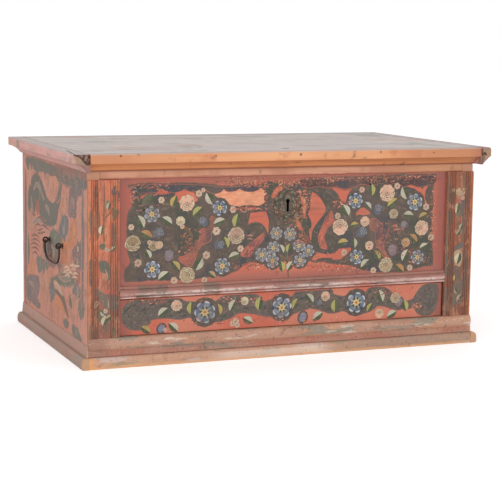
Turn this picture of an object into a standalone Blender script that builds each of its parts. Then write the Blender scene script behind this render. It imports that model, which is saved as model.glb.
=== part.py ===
# Painted marriage chest on a nailed plinth, with a hinged lid, a hidden drawer below,
# a chest lock and two drop handles.
# Metres, +Z up. The origin is on the floor at the middle of the chest's whole box.
# +X runs along the front to the right, and -Y is the front.

import math

import bmesh
import bpy
from mathutils import Matrix, Vector

# Gaps
seat_gap = 0.0003            # between pieces that are nailed or pegged together
running_gap = 0.0015         # beside and above pieces that move
cut_overrun = 0.004          # how far a cutter passes the face that it cuts
fuse_depth = 0.001           # how far two shapes reach into each other before they are fused

# Carcase boards
body_width = 1.120
body_depth = 0.695
wall_height = 0.5315
side_thickness = 0.034
back_thickness = 0.025
front_thickness = 0.022
edge_softening = 0.0010
top_rail_height = 0.044
front_panel_bottom = 0.1765
base_rail_height = 0.079
back_seam_height = 0.270
floor_height = 0.180
floor_thickness = 0.018
floor_board_count = 3

# Front dressing: two reeded pilasters and a half-round moulding between them
pilaster_width = 0.084
pilaster_thickness = 0.0077
groove_width = 0.0030
groove_depth = 0.0026
groove_place_shares = (0.124, 0.185, 0.248, 0.310, 0.723, 0.795, 0.869, 0.940)
waist_bottom = 0.1790
waist_height = 0.0310
waist_rod_radius = 0.0095
waist_rod_reach = 0.0125
waist_fillet_height = 0.0070
waist_fillet_reach = 0.0060
waist_lip_height = 0.0030
waist_lip_reach = 0.0080

# Base: plinth nosing with mouldings above it
plinth_height = 0.0297
plinth_reach = 0.0190
plinth_nose_height = 0.0120
plinth_nose_depth = 0.0090
plinth_toe_depth = 0.0025
bead_height = 0.0310
bead_reach = 0.0180
bead_top_reach = 0.0080
flat_reach = 0.0100
side_band_height = 0.0300
side_band_reach = 0.0042
side_band_top_reach = 0.0012

# Hidden drawer behind the lower front
drawer_front_thickness = 0.020
drawer_side_thickness = 0.012
drawer_back_thickness = 0.012
drawer_bottom_thickness = 0.008
drawer_depth = 0.575
drawer_left_gap = 0.0012
drawer_right_gap = 0.0034
drawer_side_drop = 0.0018
runner_foot_height = 0.020
runner_foot_reach = 0.022

# Lid boards and the moulding nailed round three of their edges
lid_thickness = 0.0230
lid_board_count = 3
lid_moulding_depth = 0.0402
lid_moulding_height = 0.0458
lid_band_height = 0.0235
lid_moulding_foot = 0.0060
cove_hollow_share = 0.55
lid_skirt_gap = 0.0015

# Strap hinges
hinge_inset = 0.200
strap_width = 0.032
strap_thickness = 0.003
lid_strap_length = 0.330
strap_taper_length = 0.060
strap_tip_width = 0.014
back_strap_length = 0.125
barrel_radius = 0.0060
middle_knuckle_width = 0.0120
hinge_pin_radius = 0.0025
hinge_pin_clearance = 0.0002
pin_head_radius = 0.0042
pin_head_thickness = 0.0020

# Lock
lock_place = -0.0055
keyhole_centre_height = 0.4075
keyhole_height = 0.0340
keyhole_eye_radius = 0.0055
keyhole_slot_width = 0.0070
keyhole_wood_margin = 0.0010
escutcheon_radius = 0.0410
escutcheon_scallop = 0.0016
escutcheon_scallop_count = 12
escutcheon_thickness = 0.0015
piercing_radius = 0.0034
piercing_circle = 0.0285
piercing_count = 8
lock_plate_width = 0.150
lock_plate_bottom = 0.360
lock_plate_thickness = 0.0025
lock_cover_width = 0.126
lock_cover_bottom = 0.372
lock_cover_depth = 0.0300
lock_cover_wall = 0.0020
lock_top_drop = 0.0045
bolt_height = 0.0100
bolt_thickness = 0.0050
bolt_tail = 0.0440
bolt_nose = 0.0250
bolt_axis_height = 0.4700
bolt_throw = 0.0160
bolt_tab_width = 0.0180
bolt_tab_drop = 0.0240
talon_width = 0.0060
talon_depth = 0.0080
bolt_sliding_gap = 0.0004
lug_width = 0.0050
lug_wall = 0.0040
staple_place_gap = 0.0020
staple_loop_width = 0.0050
staple_leg = 0.0038
staple_opening = 0.0080
staple_plate_width = 0.0560
staple_plate_depth = 0.0260
staple_plate_thickness = 0.0030
staple_drop = 0.0070
staple_slot_margin = 0.0030

# Drop handles
handle_height = 0.2880
handle_place = 0.3086
handle_eye_spread = 0.1380
handle_eye_reach = 0.0120
eye_ring_radius = 0.0066
eye_wire_radius = 0.0024
eye_shank_radius = 0.0026
eye_shank_length = 0.0280
eye_hole_clearance = 0.0003
eye_rose_radius = 0.0078
eye_rose_thickness = 0.0014
bail_wire_radius = 0.0028
bail_half_width = 0.0770
bail_drop = 0.0510
bail_stub = 0.0240
bail_corner_radius = 0.0060
bail_shape_share = 0.62

# Places worked out from the sizes
half_width = body_width / 2
hinge_offset = half_width - hinge_inset
hinge_reach = seat_gap + 2 * barrel_radius
moulding_inset = lid_skirt_gap + seat_gap
lid_reach = moulding_inset + lid_moulding_depth
whole_depth = lid_reach + body_depth + hinge_reach
front_y = lid_reach - whole_depth / 2
back_y = front_y + body_depth
inner_half_width = half_width - side_thickness
board_half_width = inner_half_width - seat_gap
lid_bottom = wall_height + seat_gap
lid_top = lid_bottom + lid_thickness
hinge_axis_y = back_y + seat_gap + barrel_radius
strap_top = lid_bottom - seat_gap
hinge_axis_z = strap_top - barrel_radius
pilaster_inner_x = half_width - pilaster_width
front_inner_y = front_y + front_thickness
back_inner_y = back_y - back_thickness

# Paint and metal colours
painted_red = (0.52, 0.20, 0.14, 1.0)
painted_salmon = (0.50, 0.26, 0.20, 1.0)
bare_pine = (0.72, 0.42, 0.22, 1.0)
old_pine = (0.45, 0.28, 0.15, 1.0)
worn_lid = (0.56, 0.50, 0.47, 1.0)
base_brown = (0.42, 0.24, 0.18, 1.0)
dark_iron = (0.06, 0.045, 0.04, 1.0)
rusty_iron = (0.12, 0.075, 0.055, 1.0)

WOOD_ROUGHNESS = 0.72
IRON_ROUGHNESS = 0.55
ROUND_SIDES = 24
SMALL_ROUND_SIDES = 12
SMOOTH_ANGLE = math.radians(35)
ARRIS_ANGLE = math.radians(60)


def empty_scene():
    for old in list(bpy.data.objects):
        bpy.data.objects.remove(old)


def give_material(piece, colour, metallic=0.0):
    """Each piece has its own Principled material."""
    surface = bpy.data.materials.new(piece.name + "_surface")
    surface.use_nodes = True
    shader = surface.node_tree.nodes["Principled BSDF"]
    shader.inputs["Base Color"].default_value = colour
    shader.inputs["Metallic"].default_value = metallic
    shader.inputs["Roughness"].default_value = IRON_ROUGHNESS if metallic else WOOD_ROUGHNESS
    piece.data.materials.clear()
    piece.data.materials.append(surface)


def object_from(shape, name):
    """Turns a finished bmesh into a linked object and frees the bmesh."""
    bmesh.ops.recalc_face_normals(shape, faces=shape.faces)
    mesh = bpy.data.meshes.new(name)
    shape.to_mesh(mesh)
    shape.free()
    piece = bpy.data.objects.new(name, mesh)
    bpy.context.scene.collection.objects.link(piece)
    return piece


def block(name, low, high):
    """A plain board between two corners."""
    low = Vector(low)
    high = Vector(high)
    shape = bmesh.new()
    bmesh.ops.create_cube(shape, size=1)
    bmesh.ops.scale(shape, vec=high - low, verts=shape.verts)
    bmesh.ops.translate(shape, vec=(low + high) / 2, verts=shape.verts)
    return object_from(shape, name)


def prism(name, outline, start, end, along):
    """Extrudes an outline. Its two coordinates are the axes that remain, in X, Y, Z order."""
    places = {
        "X": lambda u, v: (start, u, v),
        "Y": lambda u, v: (u, start, v),
        "Z": lambda u, v: (u, v, start),
    }
    steps = {"X": Vector((1, 0, 0)), "Y": Vector((0, 1, 0)), "Z": Vector((0, 0, 1))}
    shape = bmesh.new()
    corners = [shape.verts.new(places[along](u, v)) for u, v in outline]
    face = shape.faces.new(corners)
    grown = bmesh.ops.extrude_face_region(shape, geom=[face])
    moved = [part for part in grown["geom"] if isinstance(part, bmesh.types.BMVert)]
    bmesh.ops.translate(shape, vec=steps[along] * (end - start), verts=moved)
    return object_from(shape, name)


def rod(name, centre, radius, start, end, along, sides=ROUND_SIDES):
    """A round bar whose two centre coordinates are the axes that remain."""
    outline = []
    for step in range(sides):
        angle = math.tau * step / sides
        outline.append((centre[0] + radius * math.cos(angle), centre[1] + radius * math.sin(angle)))
    return prism(name, outline, start, end, along)


def combine(target, tool, operation):
    """Cuts or fuses with an exact Boolean, and removes the tool."""
    change = target.modifiers.new("Combine", "BOOLEAN")
    change.operation = operation
    change.solver = "EXACT"
    change.object = tool
    bpy.context.view_layer.update()
    seen = target.evaluated_get(bpy.context.evaluated_depsgraph_get())
    mesh = bpy.data.meshes.new_from_object(seen)
    target.modifiers.clear()
    target.data = mesh
    bpy.data.objects.remove(tool)
    return target


def cut(target, tool):
    return combine(target, tool, "DIFFERENCE")


def fuse(target, tool):
    return combine(target, tool, "UNION")


def soften(piece, width=edge_softening):
    """Breaks the sharp arrises of a sawn board."""
    bevel = piece.modifiers.new("Soft edges", "BEVEL")
    bevel.width = width
    bevel.segments = 1
    bevel.limit_method = "ANGLE"
    bevel.angle_limit = ARRIS_ANGLE
    return piece


def smooth(piece):
    piece.data.shade_smooth()
    piece.data.set_sharp_from_angle(angle=SMOOTH_ANGLE)
    return piece


def board(name, low, high, colour):
    piece = soften(block(name, low, high))
    give_material(piece, colour)
    return piece


def quarter(steps):
    """Angles of a quarter turn, both ends included."""
    return [math.pi / 2 * step / steps for step in range(steps + 1)]


# Carcase


def make_side(name, side):
    """A side board, which runs through to the front, with two blind holes for the handle's eyes."""
    outer = side * half_width
    inner = side * inner_half_width
    piece = soften(block(name, (min(outer, inner), front_y, 0), (max(outer, inner), back_y, wall_height)))
    for place in eye_places():
        hole_end = outer - side * (eye_shank_length + seat_gap)
        hole = rod(
            name + "_hole",
            (place, handle_height),
            eye_shank_radius + eye_hole_clearance,
            min(outer + side * cut_overrun, hole_end),
            max(outer + side * cut_overrun, hole_end),
            "X",
            SMALL_ROUND_SIDES,
        )
        cut(piece, hole)
    give_material(piece, painted_salmon)


def make_back():
    """Two boards, one above the other. The upper one is notched for the lid's straps."""
    board(
        "back_board_lower",
        (-board_half_width, back_inner_y, 0),
        (board_half_width, back_y, back_seam_height - seat_gap),
        old_pine,
    )
    upper = block(
        "back_board_upper",
        (-board_half_width, back_inner_y, back_seam_height),
        (board_half_width, back_y, wall_height),
    )
    notch_half = strap_width / 2 + running_gap
    notch_floor = strap_top - strap_thickness - seat_gap
    for side in (-1, 1):
        notch = block(
            "notch",
            (side * hinge_offset - notch_half, back_inner_y - cut_overrun, notch_floor),
            (side * hinge_offset + notch_half, back_y + cut_overrun, wall_height + cut_overrun),
        )
        cut(upper, notch)
    give_material(upper, old_pine)


def make_front_boards():
    """The bare top rail, the painted panel with its keyhole, and the rail behind the base moulding."""
    rail_bottom = wall_height - top_rail_height
    board(
        "front_top_rail",
        (-board_half_width, front_y, rail_bottom),
        (board_half_width, front_inner_y, wall_height),
        bare_pine,
    )
    panel = block(
        "front_panel",
        (-board_half_width, front_y, front_panel_bottom),
        (board_half_width, front_inner_y, rail_bottom - seat_gap),
    )
    hole = prism(
        "panel_keyhole",
        keyhole_outline(keyhole_wood_margin),
        front_y - cut_overrun,
        front_inner_y + cut_overrun,
        "Y",
    )
    cut(panel, hole)
    give_material(panel, painted_red)
    board(
        "front_base_rail",
        (-board_half_width, front_y, 0),
        (board_half_width, front_inner_y, base_rail_height),
        old_pine,
    )


def make_floor():
    """The floor boards of the upper space lie on the drawer's runners."""
    room = back_inner_y - front_inner_y
    pitch = room / floor_board_count
    for index in range(floor_board_count):
        start = front_inner_y + pitch * index
        board(
            f"floor_board_{index + 1}",
            (-board_half_width, start + seat_gap / 2, floor_height),
            (board_half_width, start + pitch - seat_gap / 2, floor_height + floor_thickness),
            old_pine,
        )


# Front dressing


def pilaster_outline(left):
    """Plan of a pilaster, with a V groove at each reed's edge."""
    face = front_y - seat_gap - pilaster_thickness
    back = front_y - seat_gap
    points = [(left, back), (left, face)]
    for share in groove_place_shares:
        middle = left + pilaster_width * share
        points.append((middle - groove_width / 2, face))
        points.append((middle, face + groove_depth))
        points.append((middle + groove_width / 2, face))
    points.append((left + pilaster_width, face))
    points.append((left + pilaster_width, back))
    return points


def make_pilaster(name, left):
    bottom = base_rail_height + seat_gap
    top = wall_height - top_rail_height - seat_gap
    piece = prism(name, pilaster_outline(left), bottom, top, "Z")
    give_material(piece, painted_red)


def make_waist_moulding():
    """A half-round rod under a fillet, between the pilasters and above the drawer."""
    back = front_y - seat_gap
    top = waist_bottom + waist_height
    rod_centre = top - waist_fillet_height - waist_rod_radius
    points = [(back, waist_bottom), (back - waist_lip_reach, waist_bottom)]
    points.append((back - waist_lip_reach, waist_bottom + waist_lip_height))
    steps = 8
    for step in range(steps + 1):
        angle = math.pi * step / steps
        reach = waist_fillet_reach / 2 + (waist_rod_reach - waist_fillet_reach / 2) * math.sin(angle)
        points.append((back - reach, rod_centre - waist_rod_radius * math.cos(angle)))
    points.append((back - waist_fillet_reach, top - waist_fillet_height + seat_gap))
    points.append((back - waist_fillet_reach, top))
    points.append((back, top))
    reach_x = pilaster_inner_x - seat_gap
    piece = prism("waist_moulding", points, -reach_x, reach_x, "X")
    give_material(smooth(piece), painted_red)


def base_moulding_outline():
    """Front base moulding: a bead over a flat."""
    back = front_y - seat_gap
    bottom = plinth_height + seat_gap
    bead_bottom = base_rail_height - bead_height
    points = [(back, bottom), (back - flat_reach, bottom), (back - flat_reach, bead_bottom)]
    steps = 8
    for step in range(1, steps + 1):
        angle = math.pi * step / steps
        start_reach = flat_reach + (bead_top_reach - flat_reach) * step / steps
        reach = start_reach + (bead_reach - flat_reach) * math.sin(angle)
        height = bead_bottom + bead_height * (1 - math.cos(angle)) / 2
        points.append((back - reach, height))
    points.append((back, base_rail_height))
    return points


def plinth_outline(face, outward):
    """A nosing that is round above and slightly drawn in at the floor."""
    nose_start = plinth_reach - plinth_nose_depth
    points = [(face, 0)]
    for angle in quarter(3):
        drawn_in = plinth_toe_depth * (1 - math.sin(angle))
        height = plinth_nose_height * (1 - math.cos(angle))
        points.append((face + outward * (plinth_reach - drawn_in), height))
    for angle in quarter(6)[1:]:
        reach = nose_start + plinth_nose_depth * math.cos(angle)
        height = plinth_nose_height + (plinth_height - plinth_nose_height) * math.sin(angle)
        points.append((face + outward * reach, height))
    points.append((face, plinth_height))
    return points


def side_band_outline(face, outward):
    """The thin sloping band above a side's plinth."""
    bottom = plinth_height + seat_gap
    return [
        (face, bottom),
        (face + outward * side_band_reach, bottom),
        (face + outward * side_band_top_reach, bottom + side_band_height),
        (face, bottom + side_band_height),
    ]


def make_base():
    moulding = prism("base_moulding_front", base_moulding_outline(), -half_width, half_width, "X")
    give_material(smooth(moulding), base_brown)
    nosing = prism(
        "plinth_front",
        plinth_outline(front_y - seat_gap, -1),
        -half_width,
        half_width,
        "X",
    )
    give_material(smooth(nosing), base_brown)
    for name, side in (("left", -1), ("right", 1)):
        face = side * (half_width + seat_gap)
        plinth = prism("plinth_" + name, plinth_outline(face, side), front_y - plinth_reach, back_y, "Y")
        give_material(smooth(plinth), base_brown)
        band = prism("base_band_" + name, side_band_outline(face, side), front_y - flat_reach, back_y, "Y")
        give_material(band, base_brown)


# Drawer


def make_runner(name, side):
    """An L-shaped bearer: its foot carries the drawer, its upright guides it and holds the floor."""
    wall = side * board_half_width
    guide = side * (pilaster_inner_x + seat_gap)
    foot = guide - side * runner_foot_reach
    foot_top = base_rail_height + running_gap - seat_gap
    points = [
        (wall, foot_top - runner_foot_height),
        (foot, foot_top - runner_foot_height),
        (foot, foot_top),
        (guide, foot_top),
        (guide, floor_height - seat_gap),
        (wall, floor_height - seat_gap),
    ]
    piece = prism(name, points, front_inner_y + seat_gap, back_inner_y - seat_gap, "Y")
    give_material(piece, old_pine)


def make_drawer():
    """A nailed box behind the painted lower front, with no pull."""
    bottom = base_rail_height + running_gap
    front_top = front_panel_bottom - running_gap
    box_left = -(pilaster_inner_x - running_gap)
    box_right = pilaster_inner_x - running_gap
    box_front = front_y + drawer_front_thickness + seat_gap
    box_back = front_y + drawer_depth
    side_bottom = bottom + drawer_bottom_thickness + seat_gap
    side_top = front_top - drawer_side_drop
    board(
        "drawer_front",
        (-pilaster_inner_x + drawer_left_gap, front_y, bottom),
        (pilaster_inner_x - drawer_right_gap, front_y + drawer_front_thickness, front_top),
        painted_red,
    )
    board(
        "drawer_bottom",
        (box_left, box_front, bottom),
        (box_right, box_back, bottom + drawer_bottom_thickness),
        old_pine,
    )
    board(
        "drawer_side_left",
        (box_left, box_front, side_bottom),
        (box_left + drawer_side_thickness, box_back, side_top),
        old_pine,
    )
    board(
        "drawer_side_right",
        (box_right - drawer_side_thickness, box_front, side_bottom),
        (box_right, box_back, side_top),
        old_pine,
    )
    board(
        "drawer_back",
        (box_left + drawer_side_thickness + seat_gap, box_back - drawer_back_thickness, side_bottom),
        (box_right - drawer_side_thickness - seat_gap, box_back, side_top),
        old_pine,
    )


# Lid


def lid_moulding_outline(face, outward):
    """A plain band over a shallow cove, nailed against the lid boards' edges."""
    bottom = lid_top - lid_moulding_height
    band_bottom = lid_top - lid_band_height
    cove_width = lid_moulding_depth - lid_moulding_foot
    cove_height = band_bottom - bottom
    points = [(face, bottom)]
    for angle in quarter(6):
        straight = angle / (math.pi / 2)
        across = straight + (1 - math.cos(angle) - straight) * cove_hollow_share
        upward = straight + (math.sin(angle) - straight) * cove_hollow_share
        points.append((face + outward * (lid_moulding_foot + cove_width * across), bottom + cove_height * upward))
    points.append((face + outward * lid_moulding_depth, lid_top))
    points.append((face, lid_top))
    return points


def make_lid():
    """Three boards edge to edge, held by the mouldings at both ends and along the front."""
    board_front = front_y - lid_skirt_gap
    pitch = (back_y - board_front) / lid_board_count
    lid_half = half_width + lid_skirt_gap
    for index in range(lid_board_count):
        start = board_front + pitch * index
        end = start + pitch - seat_gap
        if index == lid_board_count - 1:
            end = back_y
        board(
            f"lid_board_{index + 1}",
            (-lid_half, start, lid_bottom),
            (lid_half, end, lid_top),
            worn_lid,
        )
    front_face = board_front - seat_gap
    front = prism("lid_moulding_front", lid_moulding_outline(front_face, -1), -lid_half, lid_half, "X")
    give_material(smooth(front), bare_pine)
    front_end = front_face - lid_moulding_depth
    for name, side in (("left", -1), ("right", 1)):
        face = side * (lid_half + seat_gap)
        strip = prism("lid_moulding_" + name, lid_moulding_outline(face, side), front_end, back_y, "Y")
        give_material(smooth(strip), painted_salmon)


# Hinges


def strap_outline(middle, root, tip):
    """A long strap that narrows to a blunt tip."""
    taper_start = tip + strap_taper_length
    return [
        (middle - strap_width / 2, root),
        (middle - strap_width / 2, taper_start),
        (middle - strap_tip_width / 2, tip),
        (middle + strap_tip_width / 2, tip),
        (middle + strap_width / 2, taper_start),
        (middle + strap_width / 2, root),
    ]


def bore_pin_hole(leaf, middle):
    bore = rod(
        "bore",
        (hinge_axis_y, hinge_axis_z),
        hinge_pin_radius + hinge_pin_clearance,
        middle - strap_width / 2 - cut_overrun,
        middle + strap_width / 2 + cut_overrun,
        "X",
    )
    return cut(leaf, bore)


def make_lid_leaf(name, middle):
    """The strap under the lid passes over the notched back board and curls round the pin."""
    underside = strap_top - strap_thickness
    leaf = prism(name, strap_outline(middle, back_y, back_y - lid_strap_length), underside, strap_top, "Z")
    half_knuckle = middle_knuckle_width / 2
    tongue = block(
        "tongue",
        (middle - half_knuckle, back_y - fuse_depth, underside),
        (middle + half_knuckle, hinge_axis_y, strap_top),
    )
    fuse(leaf, tongue)
    knuckle = rod(
        "knuckle",
        (hinge_axis_y, hinge_axis_z),
        barrel_radius,
        middle - half_knuckle,
        middle + half_knuckle,
        "X",
    )
    fuse(leaf, knuckle)
    bore_pin_hole(leaf, middle)
    give_material(leaf, dark_iron, 1.0)


def make_back_leaf(name, middle):
    """The strap down the back ends in the two outer knuckles."""
    near = back_y + seat_gap
    leaf = block(
        name,
        (middle - strap_width / 2, near, hinge_axis_z - back_strap_length),
        (middle + strap_width / 2, near + strap_thickness, hinge_axis_z),
    )
    room = middle_knuckle_width / 2 + seat_gap
    outer_knuckles = ((middle - strap_width / 2, middle - room), (middle + room, middle + strap_width / 2))
    for start, end in outer_knuckles:
        fuse(leaf, rod("knuckle", (hinge_axis_y, hinge_axis_z), barrel_radius, start, end, "X"))
    gap = block(
        "gap",
        (middle - room, near - cut_overrun, hinge_axis_z - barrel_radius - seat_gap),
        (middle + room, near + 2 * barrel_radius + cut_overrun, hinge_axis_z + barrel_radius + cut_overrun),
    )
    cut(leaf, gap)
    bore_pin_hole(leaf, middle)
    give_material(leaf, dark_iron, 1.0)


def make_hinge_pin(name, middle):
    """A pin with a head hammered over at each end."""
    half = strap_width / 2 + seat_gap
    centre = (hinge_axis_y, hinge_axis_z)
    head_span = pin_head_thickness
    piece = rod(name, centre, hinge_pin_radius, middle - half - head_span, middle + half + head_span, "X", 16)
    for start, end in ((-half - head_span, -half), (half, half + head_span)):
        fuse(piece, rod("head", centre, pin_head_radius, middle + start, middle + end, "X", 16))
    give_material(piece, dark_iron, 1.0)


# Lock


def keyhole_outline(margin=0.0):
    """A round eye over a slot, seen from the front."""
    radius = keyhole_eye_radius + margin
    half_slot = keyhole_slot_width / 2 + margin
    eye_height = keyhole_centre_height + keyhole_height / 2 - keyhole_eye_radius
    slot_bottom = keyhole_centre_height - keyhole_height / 2 - margin
    shoulder = math.asin(half_slot / radius)
    steps = 14
    points = [(lock_place - half_slot, slot_bottom), (lock_place + half_slot, slot_bottom)]
    for step in range(steps + 1):
        angle = shoulder + (math.tau - 2 * shoulder) * step / steps
        points.append((lock_place + radius * math.sin(angle), eye_height - radius * math.cos(angle)))
    return points


def make_escutcheon():
    """A thin round plate with a scalloped rim and a ring of piercings."""
    points = []
    steps = escutcheon_scallop_count * 6
    for step in range(steps):
        angle = math.tau * step / steps
        radius = escutcheon_radius + escutcheon_scallop * math.cos(escutcheon_scallop_count * angle)
        points.append(
            (lock_place + radius * math.sin(angle), keyhole_centre_height + radius * math.cos(angle))
        )
    back = front_y - seat_gap
    face = back - escutcheon_thickness
    plate = prism("escutcheon", points, face, back, "Y")
    cut(plate, prism("keyhole", keyhole_outline(), face - cut_overrun, back + cut_overrun, "Y"))
    for step in range(piercing_count):
        angle = math.tau * (step + 0.5) / piercing_count
        centre = (
            lock_place + piercing_circle * math.sin(angle),
            keyhole_centre_height + piercing_circle * math.cos(angle),
        )
        hole = rod("piercing", centre, piercing_radius, face - cut_overrun, back + cut_overrun, "Y", SMALL_ROUND_SIDES)
        cut(plate, hole)
    give_material(plate, rusty_iron, 1.0)


def bolt_ends():
    """Ends of the drawn-back bolt, either side of the key."""
    return (lock_place - bolt_tail, lock_place + bolt_nose)


def bolt_middle_y():
    """The bolt runs down the middle of the lock's depth."""
    inside_start = front_inner_y + seat_gap + lock_plate_thickness
    inside_end = inside_start + lock_cover_depth - lock_cover_wall
    return (inside_start + inside_end) / 2


def staple_x():
    """The lid's staple drops in just beyond the drawn-back bolt."""
    return bolt_ends()[1] + staple_place_gap + staple_loop_width / 2


def make_lock_plate():
    """The plate lies on the wood inside and carries two lugs that the bolt slides through."""
    back = front_inner_y + seat_gap
    front = back + lock_plate_thickness
    left = lock_place - lock_plate_width / 2
    plate = block(
        "lock_plate",
        (left, back, lock_plate_bottom),
        (left + lock_plate_width, front, wall_height - lock_top_drop),
    )
    middle = bolt_middle_y()
    half_hole = bolt_height / 2 + bolt_sliding_gap
    deep = bolt_thickness / 2 + bolt_sliding_gap
    near_lug = bolt_ends()[0] + bolt_throw + running_gap
    far_lug = staple_x() + staple_loop_width / 2 + staple_slot_margin
    for start in (near_lug, far_lug):
        lug = block(
            "lug",
            (start, front - fuse_depth, bolt_axis_height - half_hole - lug_wall),
            (start + lug_width, middle + deep + lug_wall, bolt_axis_height + half_hole + lug_wall),
        )
        fuse(plate, lug)
        slot = block(
            "slot",
            (start - cut_overrun, middle - deep, bolt_axis_height - half_hole),
            (start + lug_width + cut_overrun, middle + deep, bolt_axis_height + half_hole),
        )
        cut(plate, slot)
    hole = prism(
        "plate_keyhole",
        keyhole_outline(keyhole_wood_margin),
        back - cut_overrun,
        front + cut_overrun,
        "Y",
    )
    cut(plate, hole)
    give_material(plate, dark_iron, 1.0)


def make_lock_cover():
    """A tray over the works, open towards the plate, with a mouth on top for the staple."""
    near = front_inner_y + 2 * seat_gap + lock_plate_thickness
    far = near + lock_cover_depth
    left = lock_place - lock_cover_width / 2
    right = left + lock_cover_width
    top = wall_height - lock_top_drop
    cover = block("lock_cover", (left, near, lock_cover_bottom), (right, far, top))
    hollow = block(
        "hollow",
        (left + lock_cover_wall, near - cut_overrun, lock_cover_bottom + lock_cover_wall),
        (right - lock_cover_wall, far - lock_cover_wall, top - lock_cover_wall),
    )
    cut(cover, hollow)
    half_mouth = staple_loop_width / 2 + staple_slot_margin
    mouth = block(
        "mouth",
        (staple_x() - half_mouth, near - cut_overrun, top - lock_cover_wall - cut_overrun),
        (staple_x() + half_mouth, far - lock_cover_wall, top + cut_overrun),
    )
    cut(cover, mouth)
    give_material(cover, dark_iron, 1.0)


def make_bolt():
    """A sliding bar whose tab has the notch that the key's bit pushes."""
    left, right = bolt_ends()
    top = bolt_axis_height + bolt_height / 2
    bottom = bolt_axis_height - bolt_height / 2
    tab_left = lock_place - bolt_tab_width / 2
    tab_right = lock_place + bolt_tab_width / 2
    points = [
        (left, bottom),
        (tab_left, bottom),
        (tab_left, bottom - bolt_tab_drop),
        (lock_place - talon_width / 2, bottom - bolt_tab_drop),
        (lock_place - talon_width / 2, bottom - bolt_tab_drop + talon_depth),
        (lock_place + talon_width / 2, bottom - bolt_tab_drop + talon_depth),
        (lock_place + talon_width / 2, bottom - bolt_tab_drop),
        (tab_right, bottom - bolt_tab_drop),
        (tab_right, bottom),
        (right, bottom),
        (right, top),
        (left, top),
    ]
    middle = bolt_middle_y()
    piece = prism("lock_bolt", points, middle - bolt_thickness / 2, middle + bolt_thickness / 2, "Y")
    piece.data.transform(Matrix.Translation(Vector((-left, -middle, -bolt_axis_height))))
    piece.location = (left, middle, bolt_axis_height)
    give_material(piece, dark_iron, 1.0)


def make_staple():
    """A plate under the lid with a loop that the bolt passes through."""
    top = lid_bottom - seat_gap
    underside = top - staple_plate_thickness
    middle = bolt_middle_y()
    plate = block(
        "lid_staple",
        (staple_x() - staple_plate_width / 2, middle - staple_plate_depth / 2, underside),
        (staple_x() + staple_plate_width / 2, middle + staple_plate_depth / 2, top),
    )
    loop_bottom = bolt_axis_height - bolt_height / 2 - staple_drop
    inner = staple_opening / 2
    outer = inner + staple_leg
    points = [
        (middle - outer, underside + fuse_depth),
        (middle - outer, loop_bottom + staple_leg / 2),
        (middle - outer + staple_leg / 2, loop_bottom),
        (middle + outer - staple_leg / 2, loop_bottom),
        (middle + outer, loop_bottom + staple_leg / 2),
        (middle + outer, underside + fuse_depth),
        (middle + inner, underside + fuse_depth),
        (middle + inner, loop_bottom + staple_leg),
        (middle - inner, loop_bottom + staple_leg),
        (middle - inner, underside + fuse_depth),
    ]
    half_loop = staple_loop_width / 2
    fuse(plate, prism("loop", points, staple_x() - half_loop, staple_x() + half_loop, "X"))
    give_material(plate, dark_iron, 1.0)


# Handles


def handle_middle():
    return front_y + handle_place


def bail_axis_height():
    """The bail hangs on the lower inside of its eyes."""
    return handle_height - (eye_ring_radius - eye_wire_radius - bail_wire_radius - seat_gap)


def eye_places():
    return (handle_middle() - handle_eye_spread / 2, handle_middle() + handle_eye_spread / 2)


def make_eye(name, side, place):
    """A forged eye: a ring on a shank that is driven into the side board, with a small rose."""
    face = side * half_width
    bpy.ops.mesh.primitive_torus_add(
        major_segments=20,
        minor_segments=10,
        major_radius=eye_ring_radius,
        minor_radius=eye_wire_radius,
    )
    ring = bpy.context.object
    ring.name = name
    ring.data.transform(Matrix.Rotation(math.pi / 2, 4, "X"))
    ring.data.transform(Matrix.Translation((face + side * handle_eye_reach, place, handle_height)))
    inner_end = face - side * eye_shank_length
    outer_end = face + side * (handle_eye_reach - eye_ring_radius)
    shank = rod(
        "shank",
        (place, handle_height),
        eye_shank_radius,
        min(inner_end, outer_end),
        max(inner_end, outer_end),
        "X",
        SMALL_ROUND_SIDES,
    )
    fuse(ring, shank)
    rose_start = face + side * seat_gap
    rose_end = face + side * (seat_gap + eye_rose_thickness)
    rose = rod(
        "rose",
        (place, handle_height),
        eye_rose_radius,
        min(rose_start, rose_end),
        max(rose_start, rose_end),
        "X",
        SMALL_ROUND_SIDES,
    )
    fuse(ring, rose)
    give_material(ring, dark_iron, 1.0)


def bail_route():
    """Half of the bail from its inner end, through the eye and down to the middle of the grip."""
    turn = bail_half_width - bail_corner_radius
    half = [(bail_half_width - bail_stub, 0.0)]
    for angle in quarter(3):
        half.append(
            (turn + bail_corner_radius * math.sin(angle), bail_corner_radius * (math.cos(angle) - 1))
        )
    leg = bail_drop - bail_corner_radius
    for angle in quarter(10)[1:]:
        across = bail_half_width * math.cos(angle) ** bail_shape_share
        down = bail_corner_radius + leg * math.sin(angle) ** bail_shape_share
        half.append((across, -down))
    mirrored = [(-across, height) for across, height in half[:-1]]
    half[-1] = (0.0, -bail_drop)
    return half + mirrored[::-1]


def make_bail(name, side):
    """A bent iron bar that hangs in its two eyes and swings up to be gripped."""
    curve = bpy.data.curves.new(name, "CURVE")
    curve.dimensions = "3D"
    curve.bevel_depth = bail_wire_radius
    curve.bevel_resolution = 2
    curve.use_fill_caps = True
    route = bail_route()
    spline = curve.splines.new("POLY")
    spline.points.add(len(route) - 1)
    for point, (across, height) in zip(spline.points, route):
        point.co = (0, across, height, 1)
    piece = bpy.data.objects.new(name, curve)
    bpy.context.scene.collection.objects.link(piece)
    piece.location = (side * (half_width + handle_eye_reach), handle_middle(), bail_axis_height())
    give_material(piece, dark_iron, 1.0)


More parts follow.
